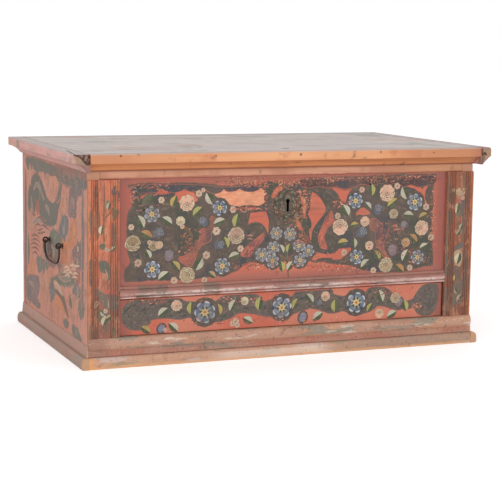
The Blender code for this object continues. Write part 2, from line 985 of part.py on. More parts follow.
def make_handles():
    for name, side in (("left", -1), ("right", 1)):
        front_place, back_place = eye_places()
        make_eye(f"handle_eye_{name}_front", side, front_place)
        make_eye(f"handle_eye_{name}_back", side, back_place)
        make_bail("handle_bail_" + name, side)


def main():
    empty_scene()
    make_side("side_board_left", -1)
    make_side("side_board_right", 1)
    make_back()
    make_front_boards()
    make_floor()
    make_pilaster("pilaster_left", -half_width)
    make_pilaster("pilaster_right", half_width - pilaster_width)
    make_waist_moulding()
    make_base()
    make_runner("drawer_runner_left", -1)
    make_runner("drawer_runner_right", 1)
    make_drawer()
    make_lid()
    for name, side in (("left", -1), ("right", 1)):
        middle = side * hinge_offset
        make_lid_leaf("hinge_strap_lid_" + name, middle)
        make_back_leaf("hinge_strap_back_" + name, middle)
        make_hinge_pin("hinge_pin_" + name, middle)
    make_escutcheon()
    make_lock_plate()
    make_lock_cover()
    make_bolt()
    make_staple()
    make_handles()


main()
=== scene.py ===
# %% [markdown]
# # A painted marriage chest
# The real chest is pine, painted two hundred years ago and rubbed by every hand since. The
# frame below holds its boards, its hinges and its lock at their true size. This lesson only
# adds what a painter, a smith and time have done to it.

# %% Load the frame
import math
import random

import bmesh
import bpy
from mathutils import Matrix, Vector, geometry, noise


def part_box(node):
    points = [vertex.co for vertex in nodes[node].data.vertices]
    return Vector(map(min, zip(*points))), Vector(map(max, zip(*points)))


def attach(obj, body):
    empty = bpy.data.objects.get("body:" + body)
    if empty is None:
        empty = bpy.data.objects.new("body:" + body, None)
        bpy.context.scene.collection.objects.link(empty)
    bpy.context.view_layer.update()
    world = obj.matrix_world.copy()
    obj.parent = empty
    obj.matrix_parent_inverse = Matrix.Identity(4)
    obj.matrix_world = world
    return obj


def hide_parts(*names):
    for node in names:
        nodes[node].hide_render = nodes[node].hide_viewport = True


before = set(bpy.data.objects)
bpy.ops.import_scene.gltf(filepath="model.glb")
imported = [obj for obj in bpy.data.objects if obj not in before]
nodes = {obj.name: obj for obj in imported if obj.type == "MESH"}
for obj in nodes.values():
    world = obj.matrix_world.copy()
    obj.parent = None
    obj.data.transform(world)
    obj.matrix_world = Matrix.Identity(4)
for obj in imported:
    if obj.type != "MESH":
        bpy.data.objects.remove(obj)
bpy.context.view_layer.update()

chance = random.Random(1822)
print("Boards and fittings in the frame:", len(nodes))

# %% [markdown]
# ## The camera
# A picture can only be compared with a photograph if both are seen from one place. The
# camera could be moved by hand until the edges match. Here its place and its three turns
# come from the straight edges of the chest, so they are written down as numbers, and every
# painted mark can later be laid where the photograph shows it.

# %% Place the camera
PICTURE_SIZE = 500
SENSOR_WIDTH = 36.0
FOCAL_PIXELS = 1468.87
picture_middle = (241.93, 245.22)
camera_place = Vector((-1.5763, -3.9115, 0.8334))
camera_yaw = 0.3827
camera_pitch = 0.1362
camera_roll = 0.0122

forward = Vector((
    math.sin(camera_yaw) * math.cos(camera_pitch),
    math.cos(camera_yaw) * math.cos(camera_pitch),
    -math.sin(camera_pitch),
))
level_right = Vector((math.cos(camera_yaw), -math.sin(camera_yaw), 0))
level_up = level_right.cross(forward)
camera_right = level_right * math.cos(camera_roll) + level_up * math.sin(camera_roll)
camera_up = level_up * math.cos(camera_roll) - level_right * math.sin(camera_roll)

camera_data = bpy.data.cameras.new("portrait_camera")
camera_data.sensor_width = SENSOR_WIDTH
camera_data.lens = FOCAL_PIXELS * SENSOR_WIDTH / PICTURE_SIZE
camera_data.shift_x = (PICTURE_SIZE / 2 - picture_middle[0]) / PICTURE_SIZE
camera_data.shift_y = (picture_middle[1] - PICTURE_SIZE / 2) / PICTURE_SIZE
camera = bpy.data.objects.new("portrait_camera", camera_data)
turn = Matrix((camera_right, camera_up, -forward)).transposed()
camera.matrix_world = Matrix.Translation(camera_place) @ turn.to_4x4()
bpy.context.scene.collection.objects.link(camera)
bpy.context.scene.camera = camera
print("Lens in millimetres:", round(camera_data.lens, 1))

# %% [markdown]
# ## Light, floor and backdrop
# Paint is judged in plain daylight. One strong lamp would give drama and hide the colours,
# so a white sky does most of the work, and two large low lamps only show which faces look
# left or right. The floor is a wide pale sheet. It glows a little for the camera alone, which
# hides the horizon and still leaves the chest's soft shadow.

# %% Light the room
scene = bpy.context.scene
scene.view_settings.view_transform = "Standard"
SKY_STRENGTH = 0.66
KEY_POWER = 66.0
FILL_POWER = 30.0
LAMP_SIZE = 2.4
KEY_PLACE = (-2.6, -4.4, 1.5)
FILL_PLACE = (2.6, -4.0, 0.9)
LAMP_TARGET = (0, 0, 0.3)
FLOOR_SIZE = 60.0
FLOOR_GLOW = 0.42
floor_colour = (0.93, 0.93, 0.93, 1.0)


def add_lamp(name, place, power):
    """A large square lamp that looks at the chest."""
    data = bpy.data.lights.new(name, "AREA")
    data.energy = power
    data.size = LAMP_SIZE
    lamp = bpy.data.objects.new(name, data)
    lamp.location = place
    lamp.rotation_euler = (Vector(LAMP_TARGET) - Vector(place)).to_track_quat("-Z", "Y").to_euler()
    scene.collection.objects.link(lamp)


world = bpy.data.worlds.new("white_room")
world.use_nodes = True
scene.world = world
sky = world.node_tree.nodes["Background"]
sky.inputs["Color"].default_value = (1, 1, 1, 1)
rays = world.node_tree.nodes.new("ShaderNodeLightPath")
seen = world.node_tree.nodes.new("ShaderNodeMath")
seen.operation = "MAXIMUM"
strength = world.node_tree.nodes.new("ShaderNodeMapRange")
strength.inputs["To Min"].default_value = SKY_STRENGTH
strength.inputs["To Max"].default_value = 1.0
world.node_tree.links.new(rays.outputs["Is Camera Ray"], seen.inputs[0])
world.node_tree.links.new(rays.outputs["Is Glossy Ray"], seen.inputs[1])
world.node_tree.links.new(seen.outputs[0], strength.inputs["Value"])
world.node_tree.links.new(strength.outputs["Result"], sky.inputs["Strength"])
add_lamp("key_lamp", KEY_PLACE, KEY_POWER)
add_lamp("fill_lamp", FILL_PLACE, FILL_POWER)

floor_shape = bmesh.new()
bmesh.ops.create_grid(floor_shape, x_segments=1, y_segments=1, size=FLOOR_SIZE / 2)
floor_mesh = bpy.data.meshes.new("floor_sheet")
floor_shape.to_mesh(floor_mesh)
floor_shape.free()
floor = bpy.data.objects.new("floor_sheet", floor_mesh)
scene.collection.objects.link(floor)
print("Lamps:", [lamp.name for lamp in bpy.data.lights])

# %% [markdown]
# ## A board to paint on
# The painter worked flat on each board. A Board knows its own right, up and outward
# directions, so a flower is drawn in two dimensions and lands on the front or on a side.
# It also turns a spot in the photograph into a spot on the wood, by following the camera's
# line of sight until it meets the board.

# %% Boards and lines of sight
panel_low, panel_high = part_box("front_panel")
pilaster_low, pilaster_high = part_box("pilaster_left")
right_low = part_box("pilaster_right")[0]
rail_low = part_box("front_top_rail")[0]
lid_low, lid_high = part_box("lid_moulding_front")
waist_low, waist_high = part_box("waist_moulding")
bead_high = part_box("base_moulding_front")[1]
plinth_low, plinth_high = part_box("plinth_front")
side_low, side_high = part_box("side_board_left")
lock_low, lock_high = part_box("escutcheon")
lock_middle = (lock_low + lock_high) / 2
lock_spot = (lock_middle.x, lock_middle.z)
LID_BAND = 0.0235
BAND_FOOT = lid_high.z - LID_BAND
EDGE_ROOM = 0.0006
BEHIND_LID = 0.012
X_AXIS = (1, 0, 0)
Z_AXIS = (0, 0, 1)
TO_FRONT = (0, -1, 0)
TO_LEFT = (-1, 0, 0)
TO_RIGHT = (1, 0, 0)


class Board:
    """A flat face with its own directions and the area that paint may cover."""

    def __init__(self, origin, right, up, outward, low, high):
        self.origin = Vector(origin)
        self.right = Vector(right)
        self.up = Vector(up)
        self.outward = Vector(outward)
        self.low = Vector(low) + Vector((EDGE_ROOM, EDGE_ROOM))
        self.high = Vector(high) - Vector((EDGE_ROOM, EDGE_ROOM))

    def clamp(self, place):
        u = min(max(place[0], self.low.x), self.high.x)
        v = min(max(place[1], self.low.y), self.high.y)
        return Vector((u, v))

    def rim(self):
        """The four corners of the area."""
        low, high = self.low, self.high
        return [low.copy(), Vector((high.x, low.y)), high.copy(), Vector((low.x, high.y))]

    def at_pixel(self, across, down):
        """The spot on the board that the camera sees at a pixel."""
        ray = forward + camera_right * (across - picture_middle[0]) / FOCAL_PIXELS
        ray -= camera_up * (down - picture_middle[1]) / FOCAL_PIXELS
        reach = (self.origin - camera_place).dot(self.outward) / ray.dot(self.outward)
        spot = camera_place + ray * reach - self.origin
        return Vector((spot.dot(self.right), spot.dot(self.up)))

    def pixel_size(self, across, down):
        """How tall one pixel is on the board there, in metres."""
        return (self.at_pixel(across, down - 0.5) - self.at_pixel(across, down + 0.5)).length

    def matrix(self):
        turn = Matrix((self.right, self.up, self.outward)).transposed()
        return Matrix.Translation(self.origin) @ turn.to_4x4()


def front_board(node, low=None, high=None):
    """The front face of a node, or a part of it."""
    near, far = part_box(node)
    return Board((0, near.y, 0), X_AXIS, Z_AXIS, TO_FRONT, low or near.xz, high or far.xz)


band_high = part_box("base_band_left")[1]
side_area = ((-side_high.y, band_high.z), (-side_low.y, lid_low.z + BEHIND_LID))
panel_board = front_board("front_panel", (pilaster_high.x, waist_high.z), (right_low.x, panel_high.z))
drawer_board = front_board("drawer_front")
left_pilaster_board = front_board("pilaster_left")
right_pilaster_board = front_board("pilaster_right")
left_board = Board((side_low.x, 0, 0), (0, -1, 0), Z_AXIS, TO_LEFT, *side_area)
right_board = Board((-side_low.x, 0, 0), (0, -1, 0), Z_AXIS, TO_RIGHT, *side_area)
lid_band_board = front_board("lid_moulding_front", (lid_low.x, BAND_FOOT))
rail_board = front_board("front_top_rail")
plate_board = front_board("escutcheon")
lid_top_board = Board((0, 0, lid_high.z), X_AXIS, (0, 1, 0), Z_AXIS, lid_low.xy, lid_high.xy)
print("One pixel on the front panel is", round(panel_board.pixel_size(250, 230) * 1000, 2), "mm")

# %% [markdown]
# ## Shader sums as sums
# A worn surface is a stack of masks, and masks are arithmetic. Adding a Math node for every
# plus sign hides the idea, so a small class wraps a node's output. Then `1 - mask` writes
# the node by itself. A Finish holds one material and lays coats over bare wood, as the
# painter did.

# %% A wire and a finish


def srgb(red, green, blue):
    """A colour as a picture editor names it, made linear for the shader."""
    levels = [level / 255 for level in (red, green, blue)]
    return tuple(
        share / 12.92 if share <= 0.04045 else ((share + 0.055) / 1.055) ** 2.4 for share in levels
    ) + (1.0,)


def made_linear(colour):
    """Three numbers are a picture editor's. Anything else is ready for the shader."""
    return srgb(*colour) if isinstance(colour, tuple) and len(colour) == 3 else colour


class Wire:
    """An output of a node. Sums on it add Math nodes."""

    def __init__(self, finish, socket):
        self.finish = finish
        self.socket = socket

    def maths(self, operation, *values):
        sockets = dict(enumerate(values))
        return self.finish.add("ShaderNodeMath", {"operation": operation}, sockets)

    def __add__(self, other):
        return self.maths("ADD", self, other)

    def __sub__(self, other):
        return self.maths("SUBTRACT", self, other)

    def __rsub__(self, other):
        return self.maths("SUBTRACT", other, self)

    def __mul__(self, other):
        return self.maths("MULTIPLY", self, other)

    __radd__ = __add__
    __rmul__ = __mul__

    def size(self):
        """The same number without its sign."""
        return self.maths("ABSOLUTE", self)

    def root(self):
        """Its square root."""
        return self.maths("SQRT", self)


class Finish:
    """One material, built up in coats from the bare surface outwards."""

    def __init__(self, name):
        self.material = bpy.data.materials.new(name)
        self.material.use_nodes = True
        self.tree = self.material.node_tree
        self.surface = self.tree.nodes["Principled BSDF"]
        self.place = self.add("ShaderNodeTexCoord", output="Object")
        axes = [self.add("ShaderNodeSeparateXYZ", {}, {0: self.place}, axis) for axis in "XYZ"]
        self.x, self.y, self.z = axes
        self.colour = None
        self.relief = None

    def add(self, kind, settings=None, sockets=None, output=0):
        """Adds any node: its settings first, then its sockets' values or links."""
        node = self.tree.nodes.new(kind)
        for name, value in (settings or {}).items():
            setattr(node, name, value)
        for key, value in (sockets or {}).items():
            if isinstance(value, Wire):
                self.tree.links.new(value.socket, node.inputs[key])
            else:
                node.inputs[key].default_value = value
        return Wire(self, node.outputs[output])

    def mix(self, mask, under, over):
        """Lays one colour over another where the mask is 1."""
        sockets = {0: mask, 6: made_linear(under), 7: made_linear(over)}
        return self.add("ShaderNodeMix", {"data_type": "RGBA"}, sockets, 2)

    def noise(self, scale, detail=4.0, stretch=None, rough=0.55):
        """Cloudy noise. The stretch makes streaks along the axis with the smallest number."""
        place = self.place
        if stretch:
            place = self.add("ShaderNodeMapping", {}, {"Vector": place, "Scale": stretch})
        sockets = {"Vector": place, "Scale": scale, "Detail": detail, "Roughness": rough}
        return self.add("ShaderNodeTexNoise", {}, sockets)

    def step(self, value, start, end):
        """0 before start and 1 after end, with a soft change between them."""
        settings = {"interpolation_type": "SMOOTHSTEP"}
        sockets = {"Value": value, "From Min": start, "From Max": end}
        return self.add("ShaderNodeMapRange", settings, sockets)

    def coat(self, colour, mask, body=0.0):
        """Paints a colour where the mask is 1, raised by its body."""
        self.colour = self.mix(mask, self.colour, colour)
        if body and isinstance(mask, Wire):
            self.relief = self.relief + mask * body
        return self

    def cover(self, tint, value, start, end, share):
        """Lays a tint where a value passes from start to end."""
        self.coat(tint, self.step(value, start, end) * share)

    def patches(self, tint, scale, start, end, share, detail=4.0):
        """Lays a tint in clouds, where noise passes from start to end."""
        self.cover(tint, self.noise(scale, detail), start, end, share)

    def streaks(self, tint, stretch, start, end, share, detail=5.0):
        """The same in streaks along the axis with the smallest number."""
        self.cover(tint, self.noise(1.0, detail, stretch), start, end, share)

    def painted(self, name):
        """The colour that a mesh carries under a name, and how dense it is there."""
        settings = {"attribute_name": name}
        return [self.add("ShaderNodeAttribute", settings, output=part) for part in ("Color", "Alpha")]

    def close(self, roughness, bump=0.5, distance=0.001, metallic=0.0):
        """Links the finished coats to the shader."""
        sockets = {"Strength": bump, "Distance": distance, "Height": self.relief}
        normal = self.add("ShaderNodeBump", {}, sockets)
        links = {"Base Color": self.colour, "Roughness": roughness, "Metallic": metallic, "Normal": normal}
        for key, value in links.items():
            if isinstance(value, Wire):
                self.tree.links.new(value.socket, self.surface.inputs[key])
            else:
                self.surface.inputs[key].default_value = value
        return self.material


floor_finish = Finish("pale_floor")
floor_finish.colour = floor_finish.mix(floor_finish.noise(3.0) * 0.02, floor_colour, (1, 1, 1, 1))
floor_finish.relief = floor_finish.noise(40.0)
camera_glow = floor_finish.add("ShaderNodeLightPath", output="Is Camera Ray")
glow = floor_finish.mix(camera_glow, (0, 0, 0, 1), (1, 1, 1, 1))
floor_finish.tree.links.new(glow.socket, floor_finish.surface.inputs["Emission Color"])
floor_finish.surface.inputs["Emission Strength"].default_value = FLOOR_GLOW
floor.data.materials.append(floor_finish.close(0.9, bump=0.02))
print("Floor finish has", len(floor_finish.tree.nodes), "nodes")

# %% [markdown]
# ## Pine under old oil paint
# Bare pine shows pale early wood and darker late wood in long streaks along the board. A
# picture of planks would repeat and would not follow each board, so the streaks are noise,
# stretched along the grain. The paint has gone first in small flakes, and most of all where
# hands and keys rubbed it. One mask of lost paint is used by the ground and by the flowers,
# so that both are worn through at the same spots.

# %% Pine, flakes and grime
ALONG = {"X": (1.3, 42.0, 42.0), "Y": (42.0, 1.3, 42.0), "Z": (42.0, 42.0, 1.3)}
BRUSHED = {"X": (6.0, 60.0, 60.0), "Y": (60.0, 6.0, 60.0), "Z": (60.0, 60.0, 6.0)}
PINE_LIGHT = (226, 168, 128)
PINE_DARK = (186, 122, 86)
LATE_WOOD = (140, 88, 60)
GRIME = (78, 54, 44)
RAW_LIGHT = (186, 144, 104)
RAW_DARK = (160, 116, 78)
RAW_LATE = (118, 80, 52)


def pine(name, along, light=PINE_LIGHT, dark=PINE_DARK, late=LATE_WOOD):
    """Bare boards with their grain along one axis."""
    finish = Finish(name)
    broad = finish.noise(1.0, 3.0, ALONG[along])
    fine = finish.noise(3.4, 5.0, ALONG[along])
    cloud = finish.noise(4.5, 2.0)
    finish.colour = finish.mix(finish.step(broad * 0.6 + cloud * 0.4, 0.38, 0.62), light, dark)
    finish.relief = fine * 0.6 + broad * 0.4
    finish.cover(late, fine, 0.6, 0.74, 0.5)
    finish.fine = fine
    finish.broad = broad
    finish.cloud = cloud
    return finish


def far_from(side, rise):
    """How far a spot is from a middle, from its two shifts."""
    return (side * side + rise * rise).root()


def lost_paint(finish, amount):
    """1 where the paint has flaked off. A larger amount loses more."""
    patches = finish.noise(8.0, 3.0)
    specks = finish.noise(150.0, 4.0, rough=0.7)
    scratches = finish.noise(2.2, 4.0, (9.0, 70.0, 70.0))
    worn = specks * 0.52 + patches * 0.26 + scratches * 0.22
    return finish.step(worn, 0.61 - amount, 0.645 - amount)


LOST_EVERYWHERE = 0.016
LOST_UNDER_LID = 0.062
LOST_AT_FOOT = 0.014
LOST_BY_LOCK = 0.06
LOCK_RUB = (0.098, 0.045)


def front_wear(finish):
    """More paint is gone under the lid, round the lock and along the foot of the panel."""
    under_lid = finish.step(finish.z, panel_high.z - 0.034, panel_high.z - 0.006)
    above_waist = finish.step(finish.z, waist_low.z, waist_low.z + 0.004)
    foot = finish.step(finish.z, waist_high.z + 0.05, waist_high.z + 0.018) * above_waist
    by_lock = finish.step(far_from(finish.x - lock_middle.x, finish.z - lock_middle.z), *LOCK_RUB)
    return LOST_EVERYWHERE + under_lid * LOST_UNDER_LID + foot * LOST_AT_FOOT + by_lock * LOST_BY_LOCK


def add_grime(finish, amount):
    """Soot and wax that stay in the hollows of the grain."""
    finish.patches(GRIME, 38.0, 0.6, 0.78, amount)
    return finish


def closed(finish, bump, low=0.52, high=0.8):
    """A wooden finish, duller in some clouds than in others."""
    levels = {"Value": finish.cloud, "To Min": low, "To Max": high}
    return finish.close(finish.add("ShaderNodeMapRange", {}, levels), bump)


def finished(finish, grime, bump, low=0.52, high=0.8):
    """Grime over everything, and then the shader."""
    return closed(add_grime(finish, grime), bump, low, high)


def bare_back(finish, mask):
    """Leaves the hidden face of a painted board as raw pine."""
    raw_tint = finish.mix(finish.step(finish.broad, 0.4, 0.62), RAW_LIGHT, RAW_DARK)
    finish.coat(finish.mix(finish.step(finish.fine, 0.58, 0.72) * 0.6, raw_tint, RAW_LATE), mask)
    return finish


def pixel_spot(finish, board, across, down, radius, core=0.4, up=None):
    """1 within a round spot whose middle the camera sees at a pixel."""
    middle = board.at_pixel(across, down)
    rise = (finish.z if up is None else up) - middle.y
    return finish.step(far_from(finish.x - middle.x, rise), radius, radius * core)


print("The middle of the lock:", [round(value, 4) for value in lock_middle])

# %% [markdown]
# ## The ground colours
# The front was laid in with one warm red and has since turned salmon, orange and brown in
# clouds. Each board gets a mix of those, brushed along its length. The sides faded to a
# greyer pink. Places on the boards come from the boxes of the boards themselves, so that a
# rubbed edge stays on its edge.

# %% Ground finishes
FRONT_RED = (200, 106, 84)
FRONT_SALMON = (214, 124, 96)
FRONT_BROWN = (154, 90, 76)
PILASTER_WEAR = 0.03
SIDE_WEAR = 0.012
MARGIN = (0.44, 0.475)
LOW_HALF = (0.36, 0.21)
OUTER_REED = (0.552, 0.562)
SIDE_PINK = (210, 147, 128)
LOCK_PIXEL = (287.5, 207)
KEYHOLE_SHADE = (20, 16, 15)
KEYHOLE_REACH = 0.027
KEYHOLE_CORE = 0.92


def ground(name, along, main, warm, dull, wear, brushed=None):
    """A coat of oil paint in clouds of three tints, flaked down to the pine."""
    finish = pine(name, along)
    clouds = finish.noise(5.5, 3.0)
    strokes = finish.noise(1.0, 4.0, BRUSHED[brushed or along])
    tint = finish.mix(finish.step(clouds * 0.6 + strokes * 0.4, 0.44, 0.62), main, warm)
    shade = finish.noise(9.0, 4.0)
    tint = finish.mix(finish.step(shade * 0.5 + strokes * 0.5, 0.5, 0.66) * 0.8, tint, dull)
    amount = wear(finish) if callable(wear) else wear
    finish.kept = 1 - lost_paint(finish, amount)
    finish.coat(tint, finish.kept, 0.5)
    finish.strokes = strokes
    finish.clouds = clouds
    return finish


def front_ground(name):
    """The red of the front, browner along its margins, with painted shade under the rail and above the waist
    rod.
    """
    finish = ground(name, "X", FRONT_RED, FRONT_SALMON, FRONT_BROWN, front_wear)
    # Browner margins beside the pilasters: partly the ground's own colour and partly painted shade.
    margin = finish.step(finish.x.size() + finish.clouds * 0.03, *MARGIN)
    finish.coat((156, 90, 80), margin * 0.9)
    # Painted shade: the head of the panel, under the rail and the lid, is darker.
    head = finish.z + finish.clouds * 0.012
    finish.cover((150, 94, 84), head, panel_high.z - 0.022, panel_high.z, 0.7)
    # Painted shade: the foot of the panel, just above the waist rod, is darker.
    foot = finish.step(finish.z - finish.strokes * 0.03, waist_high.z + 0.016, waist_high.z - 0.008)
    above = finish.step(finish.z, waist_low.z - 0.006, waist_low.z)
    finish.coat((160, 104, 92), foot * above * 0.75)
    drawer_share = (1 - above) * (1 - margin)
    finish.coat((206, 128, 104), drawer_share * finish.step(finish.clouds, 0.42, 0.56) * 0.8)
    add_grime(finish, 0.35)
    bare_back(finish, finish.step(finish.y, panel_low.y + 0.003, panel_low.y + 0.004))
    # Painted shade: the walls of the keyhole are coloured near black, as if in deep shadow.
    keyhole = pixel_spot(finish, panel_board, *LOCK_PIXEL, KEYHOLE_REACH, KEYHOLE_CORE)
    finish.coat(KEYHOLE_SHADE, keyhole)
    return finish


def pilaster_ground(name):
    """An orange red with dark runs down the reeds, darker below."""
    finish = ground(name, "Z", (204, 118, 88), (208, 132, 94), (160, 98, 76), PILASTER_WEAR)
    finish.cover((134, 92, 80), finish.z + finish.clouds * 0.1, *LOW_HALF, 0.8)
    finish.cover((132, 78, 56), finish.x, pilaster_high.x, right_low.x, 0.75)
    runs = finish.noise(1.0, 5.0, (90.0, 90.0, 9.0))
    finish.coat((118, 86, 66), finish.step(runs, 0.5, 0.64) * 0.7, 0.3)
    finish.cover((128, 116, 98), runs, 0.62, 0.7, 0.6)
    grooves = finish.step(finish.y, pilaster_low.y + 0.0004, pilaster_low.y + 0.0018)
    finish.coat((150, 98, 78), grooves * 0.5)
    finish.streaks((206, 146, 112), (60.0, 60.0, 34.0), 0.54, 0.62, 0.5)
    rubbed_edge = finish.step(finish.x.size() + finish.strokes * 0.012, *OUTER_REED)
    finish.coat((204, 132, 94), rubbed_edge * (1 - grooves) * 0.7)
    return finish


def side_ground(name):
    """The faded pink of the sides. Their front ends show as bare wood."""
    finish = ground(name, "Y", SIDE_PINK, (212, 140, 114), (180, 127, 112), SIDE_WEAR, "Z")
    finish.patches((156, 124, 112), 14.0, 0.52, 0.66, 0.55)
    finish.patches((206, 138, 108), 10.0, 0.56, 0.66, 0.6, 3.0)
    add_grime(finish, 0.35)
    finish.coat((196, 146, 116), finish.step(finish.y, side_low.y + 0.004, side_low.y + 0.001))
    inside = finish.step(finish.x.size(), -side_low.x - 0.003, -side_low.x - 0.004)
    return bare_back(finish, inside * finish.step(finish.y, side_low.y, side_low.y + 0.002))


front_paint = closed(front_ground("front_red_ground"), 0.35)
pilaster_paint = closed(pilaster_ground("pilaster_red_ground"), 0.6)
side_paint = closed(side_ground("side_pink_ground"), 0.4)
print("Ground finishes:", front_paint.name, pilaster_paint.name, side_paint.name)

# %% [markdown]
# ## Rails, mouldings and lid
# Hands wear a chest where they touch it: the rail under the lid, the band round the lid and
# the arrises of the base are rubbed to the wood. Each of those lines is a height or a depth
# on the board plus a little noise, which makes a ragged edge of paint.

# %% The rail under the lid
KNOT_BROWN = (110, 70, 50)
PEG = (92.6, 176.6)
PEG_RADIUS = 0.0085
PEG_RING = 0.0017
PEG_CORE = 0.85
rail = pine("rubbed_rail_pine", "X", (214, 158, 128), (196, 138, 108), (166, 112, 86))
ragged = rail.noise(60.0, 5.0) * 0.008 + rail.noise(6.0, 2.0) * 0.006
rail.coat((172, 104, 86), rail.step(rail.z - ragged, rail_low.z - 0.0015, rail_low.z - 0.0055), 0.3)
rail.patches((178, 120, 94), 9.0, 0.48, 0.62, 0.6)
rail.cover((196, 138, 92), rail.x, 0.2, 0.45, 0.6)
peg = pixel_spot(rail, rail_board, *PEG, PEG_RADIUS, PEG_CORE)
peg_face = pixel_spot(rail, rail_board, *PEG, PEG_RADIUS - PEG_RING, PEG_CORE)
rail.coat(KNOT_BROWN, peg * (1 - peg_face))
rail_wood = finished(rail, 0.5, 0.4, 0.45, 0.7)
print("The rail's peg in millimetres:", round(PEG_RADIUS * 2000, 1))

# %% [markdown]
# ## The band round the lid
# The lid's edge is orange pine with a little red left in the cove under it. Its knots could be
# a picture, but five round spots are enough, each laid at its place in the photograph.

# %% The band round the lid
lid_front = pine("lid_band_pine", "X", (234, 172, 125), (220, 148, 102), (176, 108, 72))
lid_front.patches((196, 116, 84), 8.0, 0.56, 0.66, 0.6, 5.0)
lid_front.cover((200, 132, 92), lid_front.x.size() + lid_front.cloud * 0.2, 0.36, 0.6, 0.9)
cove = lid_front.step(lid_front.z + lid_front.noise(30.0) * 0.003, BAND_FOOT + 0.003, BAND_FOOT)
lid_front.coat((220, 144, 94), cove * 0.9, 0.3)
cove_runs = lid_front.step(lid_front.noise(1.0, 4.0, BRUSHED["X"]), 0.5, 0.62)
lid_front.coat((180, 108, 82), cove * cove_runs * 0.45)
to_right = lid_front.x + lid_front.cloud * 0.1
lid_front.cover((186, 122, 80), to_right, 0.26, 0.46, 0.3)
lid_front.cover((172, 98, 80), to_right, 0.56, 0.64, 0.6)
# Painted shade: the lower edge of the band, under the lid, is darker.
lid_front.cover((130, 66, 50), lid_front.z, lid_low.z + 0.006, lid_low.z + 0.002, 0.8)
top_edge = lid_front.z + lid_front.noise(60.0) * 0.003
lid_front.cover((190, 172, 164), top_edge, lid_high.z - 0.001, lid_high.z + 0.0006, 0.8)
KNOTS = (
    (121, 156, 0.0045), (216, 156, 0.0036), (301, 154.5, 0.005), (381, 152, 0.004), (434, 152.6, 0.0034),
)
for knot in KNOTS:
    lid_front.coat(KNOT_BROWN, pixel_spot(lid_front, lid_band_board, *knot) * 0.85)
lid_band_wood = finished(lid_front, 0.7, 0.5, 0.45, 0.7)
print("Knots in the band:", len(KNOTS))

# %% [markdown]
# ## The lid's side mouldings
# They keep their pink, but their front ends are bare. A dark seam and a crack on top are lines
# that follow the board. The deeper break is cut into a copy of the mesh at the end of the
# lesson, and its tint is asked for here as "break".

# %% The side mouldings of the lid
lid_side_inner = -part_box("lid_moulding_left")[1].x
lid_side = ground("lid_side_pink", "Y", (228, 172, 165), (220, 164, 151), (190, 154, 142), 0.03)
lid_side.patches((140, 132, 112), 16.0, 0.56, 0.68, 0.6)
lid_end = lid_side.step(lid_side.y, lid_low.y + 0.034, lid_low.y + 0.006)
speckled = lid_side.step(lid_side.noise(60.0, 4.0), 0.46, 0.58)
end_tint = lid_side.mix(speckled, (176, 138, 106), (146, 126, 100))
in_cove = lid_side.step(lid_side.z, BAND_FOOT, BAND_FOOT - 0.008)
lid_side.coat(lid_side.mix(in_cove, end_tint, (150, 116, 110)), lid_end * 0.9)
top_edge = lid_side.z + lid_side.noise(50.0) * 0.003
lid_side.cover((196, 184, 180), top_edge, lid_high.z - 0.002, lid_high.z, 0.9)
above_cove = lid_side.step(lid_side.z, BAND_FOOT - 0.001, BAND_FOOT + 0.001)
seam_line = lid_side.step(lid_side.x.size(), lid_side_inner + 0.004, lid_side_inner + 0.0016) * above_cove
lid_side.coat((74, 52, 44), seam_line * lid_side.step(lid_side.noise(20.0), 0.36, 0.48) * 0.85)
near_front = lid_side.step(lid_side.y, lid_low.y + 0.07, lid_low.y + 0.03)
end_top = lid_side.step(lid_side.z, lid_high.z - 0.006, lid_high.z - 0.002)
lid_side.coat((170, 116, 114), lid_side.step(lid_side.x, 0.0, 0.01) * near_front * end_top * 0.85)
CRACK_START = (75.5, 155.2)
CRACK_END = (66, 150.2)
crack_start = lid_top_board.at_pixel(*CRACK_START)
crack_end = lid_top_board.at_pixel(*CRACK_END)
crack_slope = (crack_end.x - crack_start.x) / (crack_end.y - crack_start.y)
off_crack = lid_side.x - crack_start.x - (lid_side.y - crack_start.y) * crack_slope
off_crack = off_crack + (lid_side.noise(30.0, 3.0) - 0.5) * 0.01
crack_line = lid_side.step(off_crack.size(), 0.0034, 0.0014)
crack_run = lid_side.step(lid_side.y, crack_end.y + 0.01, crack_end.y - 0.03)
on_top = lid_side.step(lid_side.z, lid_high.z - 0.004, lid_high.z - 0.002)
lid_side.coat((52, 38, 34), crack_line * crack_run * on_top * 0.9)
lid_side.coat(*lid_side.painted("break"))
lid_side_paint = finished(lid_side, 0.3, 0.4)
print("The crack starts at", [round(value, 3) for value in crack_start])

# %% [markdown]
# ## The top of the lid
# Pale paint over grey grain, with one large knot: one coat in streaks along the boards and
# three in clouds. Nothing of it is deep enough to be modelled.

# %% The top of the lid
TOP_KNOT = (285.6, 148.3)
lid_top = ground("lid_top_pale", "X", (210, 198, 194), (216, 201, 194), (186, 171, 166), 0.01)
lid_top.streaks((158, 142, 134), (1.6, 34.0, 34.0), 0.54, 0.7, 0.6)
lid_top.patches((156, 158, 140), 7.0, 0.56, 0.68, 0.55)
lid_top.patches((214, 166, 148), 5.0, 0.58, 0.7, 0.55, 3.0)
lid_top.patches((238, 232, 224), 13.0, 0.6, 0.7, 0.5, 5.0)
lid_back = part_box("lid_board_3")[1].y
lid_top.cover((166, 154, 150), lid_top.y, lid_back - 0.1, lid_back - 0.01, 0.6)
lid_top.coat((92, 74, 68), pixel_spot(lid_top, lid_top_board, *TOP_KNOT, 0.016, 0.5, lid_top.y) * 0.9)
add_grime(lid_top, 0.35)
bare_back(lid_top, lid_top.step(lid_top.z, lid_high.z - 0.003, lid_high.z - 0.004))
lid_top_paint = closed(lid_top, 0.45, 0.5, 0.75)
print("The top's finish has", len(lid_top.tree.nodes), "nodes")
